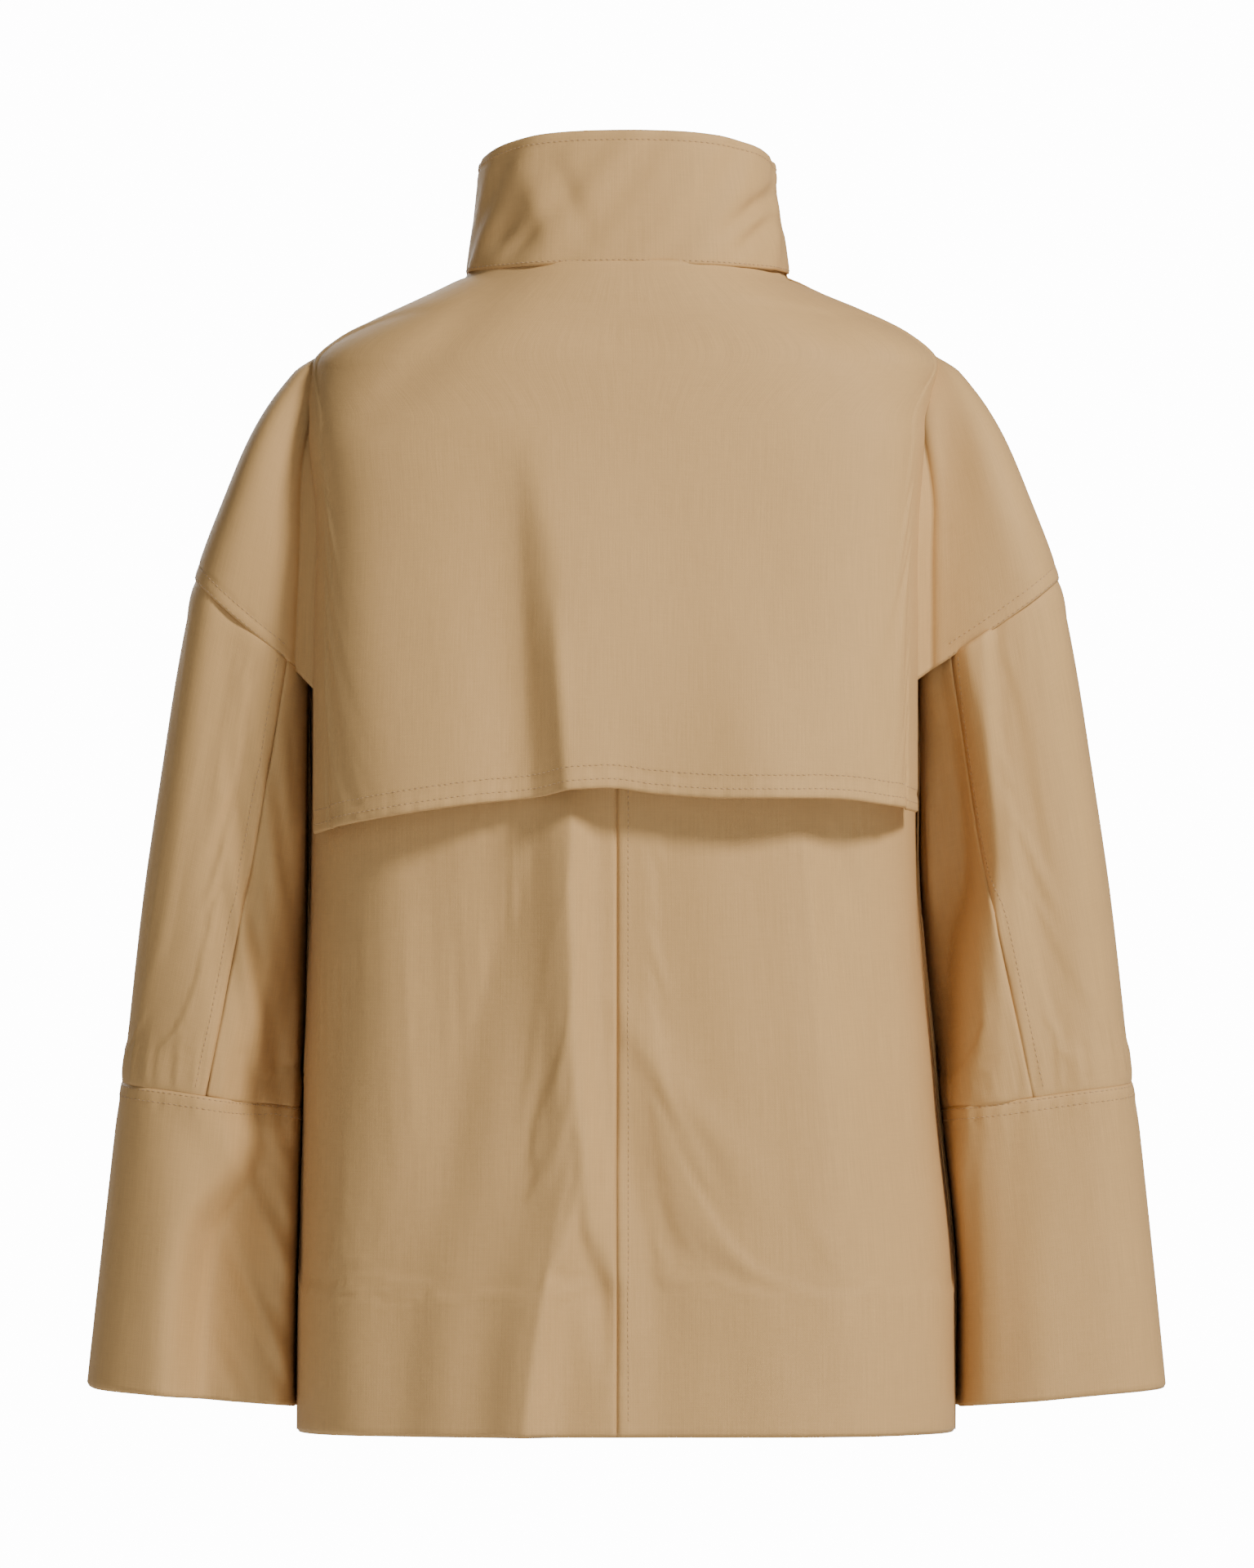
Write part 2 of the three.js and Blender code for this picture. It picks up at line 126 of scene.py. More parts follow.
# ---- body surface ----
half_left = fair((0.004, 0.096), (0.058, 0.187), (0.090, 0.190), (0.156, 0.184), (0.252, 0.187),
                 (0.335, 0.187), (0.492, 0.191), (0.660, 0.195), (0.687, 0.195))
half_right = fair((0.004, 0.096), (0.058, 0.185), (0.095, 0.178), (0.180, 0.172), (0.330, 0.171),
                  (0.487, 0.184), (0.612, 0.195), (0.687, 0.195))
depth_back = fair((0.0, 0.075), (0.058, 0.096), (0.252, 0.122), (0.687, 0.137))
back_power = fair((0.0, 2.5), (0.12, 2.9), (0.687, 3.1))


def lobe(angle, power):
    """Across and along of a unit superellipse at a polar angle from its own +Y."""
    across, along = np.sin(angle), np.cos(angle)
    size = (np.abs(across) ** power + np.abs(along) ** power) ** (1 / power)
    return across / size, along / size


def fold_line(drop):
    t = (drop - FOLD_NECK[2]) / (FOLD_HEM[2] - FOLD_NECK[2])
    return FOLD_NECK[0] + (FOLD_HEM[0] - FOLD_NECK[0]) * t, FOLD_NECK[1] + (FOLD_HEM[1] - FOLD_NECK[1]) * t


def depth_front(drop):
    x, depth = fold_line(drop)
    half = 0.5 * (half_left(drop) + half_right(drop))
    share = np.minimum(x / half, 0.86)
    return depth / (1 - share**FRONT_POWER) ** (1 / FRONT_POWER)


def body(angle, drop, squareness=0.0):
    """Points of the coat's outer surface, for arrays of angle and drop; squareness flattens its back."""
    back = np.cos(angle) > 0
    power = np.where(back, back_power(drop) + squareness, FRONT_POWER)
    depth = np.where(back, depth_back(drop), depth_front(drop))
    across, along = lobe(angle, power)
    x = np.where(angle >= 0, half_left(drop), half_right(drop)) * across
    return np.stack([x, SIDE_Y + depth * along, -drop * np.ones_like(x)], axis=-1)


def neck_drop(angle):
    turn = np.abs(angle)
    front = np.clip((turn - math.pi / 2) / (math.pi / 2), 0, 1)
    return NECK_SIDE_DROP * np.sin(np.minimum(turn, math.pi / 2)) ** 2 + FRONT_NECK_DROP * front**2.6


def angle_at(x, drop, front=False):
    """The angle whose point lies at that x, on the back or on the front."""
    half = np.where(x >= 0, half_left(drop), half_right(drop))
    power = FRONT_POWER if front else back_power(drop)
    across = np.minimum(np.abs(x) / half, 1)
    turn = np.arctan2(across, (1 - across**power) ** (1 / power))
    turn = math.pi - turn if front else turn
    return np.where(x >= 0, turn, -turn)


# ---- arm surface: angle 0 is the back, 90 the outside, 180 the front ----
arm_outer = fair((0.050, 0.180), (0.061, 0.197), (0.091, 0.218), (0.131, 0.236), (0.184, 0.256),
                 (0.228, 0.2655), (0.300, 0.277), (0.372, 0.2875), (0.481, 0.2995), (0.651, 0.318),
                 (0.670, 0.320))


def arm_lobe(angle, squareness):
    """A sleeve's section: flatter on its back, and squarer by squareness where it lies against the body."""
    back = np.cos(angle) > 0
    return lobe(angle, 2.25 + np.where(back, 1.3, 0) + np.where(back & (np.sin(angle) < 0), squareness, 0))


def arm(side, angle, drop):
    """Points of a sleeve; side is 1 on the wearer's left and -1 on the right."""
    half_body = half_left(drop) if side > 0 else half_right(drop)
    inner = half_body + SLEEVE_GAP - 0.016 * ease(0.15, 0.05, drop)
    outer = arm_outer(drop)
    along = np.clip((drop - SEAM_OUTER) / (CUFF_END - SEAM_OUTER), 0, 1)
    rise = np.clip((drop - 0.046) / 0.140, 0, 1)
    half_depth = 0.060 * np.sqrt(1 - (1 - rise) ** 2) + 0.012 * along
    sideways, backwards = arm_lobe(angle, 2.0 * (ease(0.28, 0.23, drop) if side < 0 else 1.0))
    x = (outer + inner) / 2 + (outer - inner) / 2 * sideways
    y = SIDE_Y - 0.012 * along + half_depth * backwards
    ahead = np.clip((SIDE_Y - y) / depth_front(drop), 0, 0.95)
    hug = half_body * (1 - (1 - ahead**FRONT_POWER) ** (1 / FRONT_POWER)) + 0.0035
    x = x - hug * ease(-0.2, -0.7, np.sin(angle)) * ease(0.0, -0.3, np.cos(angle)) * ease(0.230, 0.248, drop)
    return np.stack([side * x, y, -drop * np.ones_like(x)], axis=-1)


def drop_seam(angle):
    return (SEAM_OUTER + SEAM_INNER) / 2 - (SEAM_INNER - SEAM_OUTER) / 2 * arm_lobe(angle, 2.0)[0]


def cuff_seam(angle):
    return CUFF_SEAM - 0.0085 * np.sin(angle)


def back_seam_angle(side, drop):
    share = np.clip((drop - SEAM_OUTER) / (CUFF_SEAM - SEAM_OUTER), 0, 1.2)
    return (-43 + 45 * share if side > 0 else -37 + 33 * share) * RAD


# ---- collar surface ----
def collar(angle, share):
    base = body(angle, neck_drop(angle))
    height = COLLAR_TOP - COLLAR_SIDE_LOSS * np.sin(angle) ** 4
    lean = 1 - 0.09 * share
    x = base[..., 0] * lean
    y = SIDE_Y + (base[..., 1] - SIDE_Y) * lean
    z = base[..., 2] + height * share
    return np.stack([x, y, z], axis=-1)


# ---- folds and creases, as heights off a surface ----
def fold(x, drop, path, height, left, right):
    """A ridge (or a valley, where height is below 0) that runs down the cloth along x = path(drop)."""
    away = x - path(drop)
    return height(drop) * bump(away, np.where(away > 0, left, right))


def folds(x, drop, *rows):
    """Several folds together: each row has the knots of its path and of its height, and its two widths."""
    return sum(fold(x, drop, fair(*path), fair(*height), left, right) for path, height, left, right in rows)


# ---- sheets ----
FREEDOM = 0.93


def put(name, data):
    thing = bpy.data.objects.new(name, data)
    bpy.context.scene.collection.objects.link(thing)
    return thing


def smooth_mesh(name, shape):
    """Turns a bmesh into a smooth-shaded mesh and frees it."""
    mesh = bpy.data.meshes.new(name)
    shape.to_mesh(mesh)
    shape.free()
    mesh.polygons.foreach_set("use_smooth", [True] * len(mesh.polygons))
    return mesh


class Sheet:
    """A grid of cloth shaped by surface(u, v): v runs down the cloth, u so that the outside faces out."""

    def __init__(self, name, across, down, surface):
        self.name, self.across, self.down = name, across, down
        grid = bmesh.new()
        bmesh.ops.create_grid(grid, x_segments=across, y_segments=down, size=0.5)
        flat = np.array([vertex.co for vertex in grid.verts])
        low, high = flat.min(axis=0), flat.max(axis=0)
        self.u = (flat[:, 0] - low[0]) / (high[0] - low[0])
        self.v = (flat[:, 1] - low[1]) / (high[1] - low[1])
        self.row = np.rint(self.v * down).astype(int)
        self.column = np.rint(self.u * across).astype(int)
        self.object = put(name, smooth_mesh(name, grid))
        self.move_to(surface(self.u, self.v))
        self.lay_pattern()

    def points(self):
        places = np.empty(len(self.u) * 3)
        self.object.data.vertices.foreach_get("co", places)
        return places.reshape(-1, 3)

    def move_to(self, places):
        self.object.data.vertices.foreach_set("co", np.asarray(places, float).ravel())
        self.object.data.update()
        self.table = np.empty((self.down + 1, self.across + 1, 3))
        self.table[self.row, self.column] = places

    def lay_pattern(self):
        """Gives the sheet its cut size, a UV map in metres and a mask that is 1 along its edges."""
        steps_across = np.linalg.norm(np.diff(self.table, axis=1), axis=2).sum(axis=1)
        steps_down = np.linalg.norm(np.diff(self.table, axis=0), axis=2).sum(axis=0)
        self.width, self.length = float(steps_across.max()), float(steps_down.max())
        mesh = self.object.data
        layer = mesh.uv_layers.new(name="cloth")
        corners = np.empty(len(mesh.loops), int)
        mesh.loops.foreach_get("vertex_index", corners)
        flat = np.stack([self.u[corners] * self.width, self.v[corners] * self.length], axis=1)
        layer.data.foreach_set("uv", flat.ravel())
        inside_u = np.minimum(self.u, 1 - self.u) * self.width
        inside_v = np.minimum(self.v, 1 - self.v) * self.length
        rim = np.exp(-np.minimum(inside_u, inside_v) / 0.004)
        mesh.attributes.new("rim", "FLOAT", "POINT").data.foreach_set("value", rim.astype(np.float32))

    def at(self, u, v):
        """The point of the cloth at (u, v), and the way out of it."""
        column, row = np.clip(u, 0, 1) * self.across, np.clip(v, 0, 1) * self.down
        i, j = min(int(column), self.across - 1), min(int(row), self.down - 1)
        s, t = column - i, row - j
        table = self.table
        top = table[j, i] * (1 - s) + table[j, i + 1] * s
        bottom = table[j + 1, i] * (1 - s) + table[j + 1, i + 1] * s
        along = table[j, i + 1] - table[j, i] + table[j + 1, i + 1] - table[j + 1, i]
        out = np.cross(along, bottom - top)
        return Vector(top * (1 - t) + bottom * t), Vector(out).normalized()

    def in_from(self, distance, v):
        """The u this far in from the first column, or from the last one where distance is below 0."""
        return self.walk(self.table[int(round(v * self.down))], distance)

    def down_from(self, distance, u):
        """The v this far down from the first row, or up from the last one where distance is below 0."""
        return self.walk(self.table[:, int(round(u * self.across))], distance)

    def walk(self, line, distance):
        along = np.concatenate([[0.0], np.cumsum(np.linalg.norm(np.diff(line, axis=0), axis=1))])
        place = distance if distance > 0 else along[-1] + distance
        return float(np.interp(place, along, np.linspace(0, 1, len(line))))

    def area(self):
        return sum(face.area for face in self.object.data.polygons)


def edges_held(sides, ends):
    """How firmly a sheet is held: fully at its edges, and hardly once it is that share of its size away."""
    inside = lambda place, reach: ease(0, reach, np.minimum(place, 1 - place))
    return lambda u, v: 1 - FREEDOM * inside(u, sides) * inside(v, ends)


def settle(sheet, held, swell=0.002, reach=0.0011, frames=8):
    """Lets the cloth find its own small wrinkles: it swells, sags, and is held where held(u, v) is 1."""
    start = sheet.points()
    thing = sheet.object
    group = thing.vertex_groups.new(name="held")
    for i, weight in enumerate(np.clip(held(sheet.u, sheet.v), 0.02, 1)):
        group.add([i], float(weight), "REPLACE")
    cloth = thing.modifiers.new("settle", "CLOTH")
    facts = cloth.settings
    facts.quality = 5
    facts.mass = 0.12
    facts.tension_stiffness = facts.compression_stiffness = 25
    facts.shear_stiffness = 12
    facts.bending_stiffness = 0.25
    facts.shrink_min = facts.shrink_max = -swell
    facts.vertex_group_mass = "held"
    facts.pin_stiffness = 1
    cloth.collision_settings.use_collision = False
    cloth.point_cache.frame_end = frames
    scene = bpy.context.scene
    for step in range(1, frames + 1):
        scene.frame_set(step)
    shown = thing.evaluated_get(bpy.context.evaluated_depsgraph_get())
    ended = np.empty(len(sheet.u) * 3)
    shown.data.vertices.foreach_get("co", ended)
    thing.modifiers.remove(cloth)
    thing.vertex_groups.clear()
    scene.frame_set(1)
    moved = ended.reshape(-1, 3) - start
    far = np.linalg.norm(moved, axis=1, keepdims=True)
    sheet.move_to(start + moved * reach / np.maximum(reach, far + 1e-9))


def thicken(thing, thickness=CLOTH, offset=-1):
    shell = thing.modifiers.new("thickness", "SOLIDIFY")
    shell.thickness = thickness
    shell.offset = offset
    shell.use_quality_normals = True


# ---- materials ----
def value_node(nodes, kind, **settings):
    node = nodes.new(kind)
    for name, value in settings.items():
        setattr(node, name, value)
    return node


def math_node(tree, operation, first, second=None):
    node = value_node(tree.nodes, "ShaderNodeMath", operation=operation)
    for socket, source in zip(node.inputs, (first, second)):
        if source is None:
            continue
        if isinstance(source, (int, float)):
            socket.default_value = source
        else:
            tree.links.new(source, socket)
    return node.outputs[0]


def new_group(name, inputs, outputs):
    tree = bpy.data.node_groups.new(name, "ShaderNodeTree")
    for label, kind, value in inputs:
        socket = tree.interface.new_socket(label, in_out="INPUT", socket_type=kind)
        if value is not None:
            socket.default_value = value
    for label, kind in outputs:
        tree.interface.new_socket(label, in_out="OUTPUT", socket_type=kind)
    return tree, tree.nodes.new("NodeGroupInput"), tree.nodes.new("NodeGroupOutput")


def make_weave():
    """Plain weave with thicker slub threads both ways: a height for bumps and a tone for colour."""
    tree, given, out = new_group(
        "plain_weave",
        [("Cloth", "NodeSocketVector", None), ("Threads", "NodeSocketFloat", 2200.0),
         ("Slub", "NodeSocketFloat", 1.0)],
        [("Height", "NodeSocketFloat"), ("Tone", "NodeSocketFloat")],
    )
    split = tree.nodes.new("ShaderNodeSeparateXYZ")
    tree.links.new(given.outputs["Cloth"], split.inputs[0])
    turn = math_node(tree, "MULTIPLY", given.outputs["Threads"], math.pi)
    warp = math_node(tree, "SINE", math_node(tree, "MULTIPLY", split.outputs[0], turn))
    weft = math_node(tree, "SINE", math_node(tree, "MULTIPLY", split.outputs[1], turn))
    threads = math_node(tree, "MULTIPLY", warp, weft)
    streaks = []
    for scale in ((1300.0, 24.0, 1.0), (60.0, 1500.0, 1.0)):
        stretch = value_node(tree.nodes, "ShaderNodeMapping")
        stretch.inputs["Scale"].default_value = scale
        noise = tree.nodes.new("ShaderNodeTexNoise")
        noise.inputs["Scale"].default_value = 1.0
        noise.inputs["Detail"].default_value = 2.0
        tree.links.new(given.outputs["Cloth"], stretch.inputs["Vector"])
        tree.links.new(stretch.outputs[0], noise.inputs["Vector"])
        streaks.append(noise.outputs["Fac"])
    streaks[1] = math_node(tree, "MULTIPLY", streaks[1], 0.5)
    slub = math_node(tree, "SUBTRACT", math_node(tree, "ADD", *streaks), 0.75)
    slub = math_node(tree, "MULTIPLY", slub, given.outputs["Slub"])
    height = math_node(tree, "ADD", math_node(tree, "MULTIPLY", threads, 0.35), slub)
    tree.links.new(height, out.inputs["Height"])
    tree.links.new(slub, out.inputs["Tone"])
    return tree


def make_clouds():
    """Slow unevenness of dye and finish over the garment."""
    tree, given, out = new_group(
        "dye_clouds",
        [("Place", "NodeSocketVector", None), ("Scale", "NodeSocketFloat", 9.0)],
        [("Tone", "NodeSocketFloat"), ("Crumple", "NodeSocketFloat")],
    )
    slow = tree.nodes.new("ShaderNodeTexNoise")
    slow.inputs["Detail"].default_value = 3.0
    fine = tree.nodes.new("ShaderNodeTexNoise")
    fine.inputs["Scale"].default_value = 75.0
    fine.inputs["Detail"].default_value = 3.0
    tree.links.new(given.outputs["Place"], slow.inputs["Vector"])
    tree.links.new(given.outputs["Scale"], slow.inputs["Scale"])
    tree.links.new(given.outputs["Place"], fine.inputs["Vector"])
    tree.links.new(math_node(tree, "SUBTRACT", slow.outputs["Fac"], 0.5), out.inputs["Tone"])
    tree.links.new(fine.outputs["Fac"], out.inputs["Crumple"])
    return tree


WEAVE, CLOUDS = make_weave(), make_clouds()


def use_group(material, tree):
    node = material.node_tree.nodes.new("ShaderNodeGroup")
    node.node_tree = tree
    return node


def cloth_material(name, colour, roughness, sheen, threads=2200.0, slub=1.0, crumple=0.0005):
    material = bpy.data.materials.new(name)
    material.use_nodes = True
    tree = material.node_tree
    shader = tree.nodes["Principled BSDF"]
    shader.inputs["Sheen Weight"].default_value = sheen
    shader.inputs["Sheen Roughness"].default_value = 0.45
    shader.inputs["Sheen Tint"].default_value = (1.0, 0.88, 0.68, 1.0)
    shader.inputs["Specular IOR Level"].default_value = 0.12
    place = tree.nodes.new("ShaderNodeTexCoord")
    pattern = value_node(tree.nodes, "ShaderNodeUVMap", uv_map="cloth")
    weave = use_group(material, WEAVE)
    weave.inputs["Threads"].default_value = threads
    weave.inputs["Slub"].default_value = slub
    clouds = use_group(material, CLOUDS)
    rim = value_node(tree.nodes, "ShaderNodeAttribute", attribute_name="rim")
    tree.links.new(pattern.outputs["UV"], weave.inputs["Cloth"])
    tree.links.new(place.outputs["Object"], clouds.inputs["Place"])
    tone = math_node(tree, "ADD", math_node(tree, "MULTIPLY", weave.outputs["Tone"], 0.22), 1.0)
    tone = math_node(tree, "ADD", tone, math_node(tree, "MULTIPLY", clouds.outputs["Tone"], 0.10))
    tone = math_node(tree, "ADD", tone, math_node(tree, "MULTIPLY", rim.outputs["Fac"], 0.05))
    paint = value_node(tree.nodes, "ShaderNodeMix", data_type="RGBA", blend_type="MULTIPLY")
    paint.inputs["Factor"].default_value = 1.0
    paint.inputs["A"].default_value = (*colour, 1.0)
    tree.links.new(tone, paint.inputs["B"])
    tree.links.new(paint.outputs["Result"], shader.inputs["Base Color"])
    gloss = math_node(tree, "ADD", math_node(tree, "MULTIPLY", weave.outputs["Tone"], 0.12), roughness)
    tree.links.new(gloss, shader.inputs["Roughness"])
    soft = value_node(tree.nodes, "ShaderNodeBump")
    soft.inputs["Distance"].default_value = crumple
    soft.inputs["Strength"].default_value = 0.5
    tree.links.new(clouds.outputs["Crumple"], soft.inputs["Height"])
    fine = value_node(tree.nodes, "ShaderNodeBump")
    fine.inputs["Distance"].default_value = 0.00012
    fine.inputs["Strength"].default_value = 0.6
    tree.links.new(weave.outputs["Height"], fine.inputs["Height"])
    tree.links.new(soft.outputs["Normal"], fine.inputs["Normal"])
    tree.links.new(fine.outputs["Normal"], shader.inputs["Normal"])
    return material


CAMEL = (0.575, 0.356, 0.148)
shell_cloth = cloth_material("camel_cloth", CAMEL, 0.55, 0.06)
facing_cloth = cloth_material("camel_facing", (0.49, 0.32, 0.17), 0.6, 0.15)
lining_cloth = cloth_material("tan_lining", (0.40, 0.28, 0.16), 0.38, 0.10, threads=3200.0, slub=0.4)
thread_gloss = cloth_material("camel_thread", (0.50, 0.325, 0.165), 0.45, 0.2, crumple=0.0001)


def horn_material():
    material = bpy.data.materials.new("horn_button")
    material.use_nodes = True
    tree = material.node_tree
    shader = tree.nodes["Principled BSDF"]
    shader.inputs["Coat Weight"].default_value = 0.4
    place = tree.nodes.new("ShaderNodeTexCoord")
    bands = tree.nodes.new("ShaderNodeTexNoise")
    bands.inputs["Scale"].default_value = 60.0
    bands.inputs["Distortion"].default_value = 2.5
    tree.links.new(place.outputs["Object"], bands.inputs["Vector"])
    ramp = tree.nodes.new("ShaderNodeValToRGB")
    ramp.color_ramp.elements[0].color = (0.030, 0.014, 0.006, 1)
    ramp.color_ramp.elements[1].color = (0.20, 0.10, 0.045, 1)
    tree.links.new(bands.outputs["Fac"], ramp.inputs["Fac"])
    tree.links.new(ramp.outputs["Color"], shader.inputs["Base Color"])
    gloss = math_node(tree, "ADD", math_node(tree, "MULTIPLY", bands.outputs["Fac"], 0.15), 0.22)
    tree.links.new(gloss, shader.inputs["Roughness"])
    return material


horn = horn_material()


# ---- finishing a sheet: thickness, cloth and the parts it replaces ----
def finish_sheet(sheet, material, replaces, thickness=CLOTH):
    thing = sheet.object
    thing.data.materials.append(material)
    thicken(thing, thickness)
    if replaces:
        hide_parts(*replaces)
    area = min(sheet.area() * 1.01, sheet.width * sheet.length)
    area = max(area, 0.301 * sheet.width * sheet.length)
    return thing


def side_name(side):
    return "left" if side > 0 else "right"


def move_with_sleeve(thing, side):
    half = half_left(SEAM_INNER) if side > 0 else half_right(SEAM_INNER)
    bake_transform(thing)


def move_with_front(thing, side):
    across = Vector((FOLD_HEM[0] - FOLD_NECK[0], 0, FOLD_NECK[2] - FOLD_HEM[2])).normalized()
    inward = Vector((-abs(across.z), 0, -across.x))
    middle = Vector((FOLD_HEM[0], 0, -FOLD_HEM[2]))
    start, end = middle - 0.016 * inward, middle + 0.016 * inward
    start.x, end.x = side * start.x, side * end.x
    f"{side_name(side)}_front"
    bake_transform(thing)


def move_with_flap(thing):
    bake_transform(thing)


# ---- stitching: rows of small raised stitches laid on a sheet ----
STITCH, STITCH_GAP, THREAD = 0.0027, 0.0008, 0.00034


def stitch_row(name, sheet, path, mover):
    """Lays stitches along path(t) = (u, v) on a sheet, t from 0 to 1."""
    steps = 240
    places = [sheet.at(*path(t / steps)) for t in range(steps + 1)]
    lengths = [0.0]
    for before, after in zip(places, places[1:]):
        lengths.append(lengths[-1] + (after[0] - before[0]).length)
    threads = bmesh.new()
    marks = np.arange(STITCH, lengths[-1] - STITCH, STITCH + STITCH_GAP)
    for mark in marks:
        t = np.interp(mark, lengths, np.linspace(0, 1, steps + 1))
        ahead = np.interp(mark + STITCH / 2, lengths, np.linspace(0, 1, steps + 1))
        point, out = sheet.at(*path(t))
        along = (sheet.at(*path(ahead))[0] - point).normalized()
        across = out.cross(along).normalized()
        turn = Matrix((along, across, out)).transposed().to_4x4()
        size = Matrix.Diagonal((STITCH / 2, THREAD, THREAD * 0.8, 1))
        place = Matrix.Translation(point + out * THREAD * 0.2) @ turn @ size
        bmesh.ops.create_icosphere(threads, subdivisions=1, radius=1, matrix=place)
    mesh = smooth_mesh(name, threads)
    thing = put(name, mesh)
    mesh.materials.append(thread_gloss)
    mover(thing)
    return thing


def ride(body_name):
    return lambda thing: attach(thing, body_name)


# ---- points on the two surfaces with a height off the cloth ----
STEP = 1e-4


def lifted(surface, angle, drop, height, outside):
    """Points off a surface by a height along its normal; outside is -1 where that would point inwards."""
    around = surface(angle + STEP, drop) - surface(angle - STEP, drop)
    below = surface(angle, drop + STEP) - surface(angle, drop - STEP)
    out = outside * np.cross(around, below)
    out /= np.linalg.norm(out, axis=-1, keepdims=True) + 1e-12
    return surface(angle, drop) + out * np.reshape(height * np.ones_like(angle), (-1, 1))


def on_body(angle, drop, height=0.0, squareness=0.0):
    return lifted(lambda turn, down: body(turn, down, squareness), angle, drop, height, 1)


def on_arm(side, angle, drop, height=0.0):
    return lifted(lambda turn, down: arm(side, turn, down), angle, drop, height, side)


def turned(along, length, radius=EDGE_TURN / 2):
    """An edge folded to the inside: how far down and how far in a point lies that is along the cut cloth."""
    bend = np.clip((along - length) / radius, 0, math.pi)
    past = np.maximum(along - length - math.pi * radius, 0)
    down = np.minimum(along, length) + radius * np.sin(bend) - past
    return down, radius * (1 - np.cos(bend))


# ---- cape: one cloth from the neck, over the shoulders, to the free edge of the storm flap ----
CAPE_TURN = 0.021
TUCK = 0.0035
CAPE_ANGLE, CAPE_SQUARENESS = 66 * RAD, 0.8
cape_edge = fair((-0.170, 0.322), (-0.150, 0.3175), (-0.114, 0.3135), (-0.060, 0.3135), (-0.016, 0.3105),
                 (0.010, 0.3075), (0.032, 0.3085), (0.050, 0.3115), (0.088, 0.316), (0.158, 0.3275),
                 (0.186, 0.335))
pleat_path = fair((0.09, 0.066), (0.132, 0.049), (0.18, 0.038), (0.228, 0.0346), (0.276, 0.0298),
                  (0.335, 0.0240))
pleat_height = fair((0.085, 0.0), (0.13, 0.0035), (0.18, 0.0075), (0.24, 0.0105), (0.335, 0.0125))
pleat_foot = fair((0.089, 0.069), (0.18, 0.065), (0.295, 0.0586), (0.335, 0.057))
pleat_foot_height = fair((0.09, 0.0), (0.13, -0.0025), (0.18, -0.0045), (0.25, -0.006), (0.335, -0.006))
flap_lift = fair((0.0, 0.002), (0.058, 0.0022), (0.20, 0.0075), (0.335, 0.0165))


CAPE_FOLDS = (
    # crest along the pleat
    (((0.19, 0.044), (0.218, 0.042), (0.305, 0.0365)), ((0.19, 0.0), (0.24, 0.0018), (0.335, 0.0022)),
     0.0045, 0.0055),
    # drag lines from the neck to the left and to the right shoulder
    (((0.0, 0.070), (0.090, 0.150)), ((0.0, -0.002), (0.05, -0.003), (0.11, 0.0)), 0.016, 0.022),
    (((0.0, -0.085), (0.070, -0.168)), ((0.0, -0.002), (0.05, -0.003), (0.10, 0.0)), 0.022, 0.014),
    # soft rolls along the left and the right side edge
    (((0.06, 0.165), (0.30, 0.160)), ((0.06, 0.0), (0.16, 0.004), (0.33, 0.002)), 0.020, 0.030),
    (((0.06, -0.158), (0.33, -0.150)), ((0.06, 0.001), (0.16, 0.004), (0.33, 0.003)), 0.030, 0.016),
)


def cape_relief(x, drop):
    pleat = fold(x, drop, pleat_path, pleat_height, 0.020, 0.050)
    pleat = pleat + fold(x, drop, pleat_foot, pleat_foot_height, 0.036, 0.011)
    neck_dent = -0.0028 * bump(drop - 0.040, 0.012) * bump(x, 0.055)
    flare = 0.012 * bump(x + 0.085, 0.055) + 0.004 * bump(x - 0.100, 0.045)
    waves = 0.0012 * ripple(x + 0.2 * drop, 0.095, 1.3) * ease(0.04, 0.33, drop)
    waves = waves + flare * ease(0.17, 0.32, drop)
    return pleat + neck_dent + folds(x, drop, *CAPE_FOLDS) + waves


def cape_surface(u, v):
    share = 2 * u - 1
    turn = share * CAPE_ANGLE
    edge = cape_edge(body(turn, 0.325, CAPE_SQUARENESS)[..., 0]) - 0.0013
    top = neck_drop(share * math.pi / 2) - TUCK
    drop, inward = turned(v * (edge - top + CAPE_TURN), edge - top)
    drop = top + drop
    angle = turn + share * (91 * RAD - CAPE_ANGLE) * ease(0.092, 0.045, drop)
    square = CAPE_SQUARENESS * ease(0.05, 0.11, drop)
    x = body(angle, drop, square)[..., 0]
    hem_pull = -0.0004 * bump(edge - drop - 0.0095, 0.0022) * (1 + 0.8 * ripple(x, 0.017, 0.4))
    hem_pull = hem_pull + 0.0004 * ripple(x, 0.012, 2.2) * np.exp(-(edge - drop) / 0.008)
    neck_pull = -0.0026 * bump(drop - top, 1.15 * TUCK)
    place = on_body(angle, drop, cape_relief(x, drop) + hem_pull + neck_pull - inward, square)
    place[..., 1] += flap_lift(drop)
    return place


cape = Sheet("storm_cape", 230, 180, cape_surface)
settle(cape, lambda u, v: 1 - FREEDOM * ease(0.0, 0.12, np.minimum(u, 1 - u)) * ease(0.0, 0.12, v))
finish_sheet(cape, shell_cloth, ("cape_back", "storm_flap"))
move_with_flap(cape.object)

for row, above in (("edge", 0.0014), ("hem", 0.0096)):
    up = CAPE_TURN + 0.0025 + above
    flap_row = lambda t, up=up: (0.004 + 0.992 * t, cape.down_from(-up, 0.004 + 0.992 * t))
    stitch_row(f"storm_flap_{row}_stitches", cape, flap_row, move_with_flap)

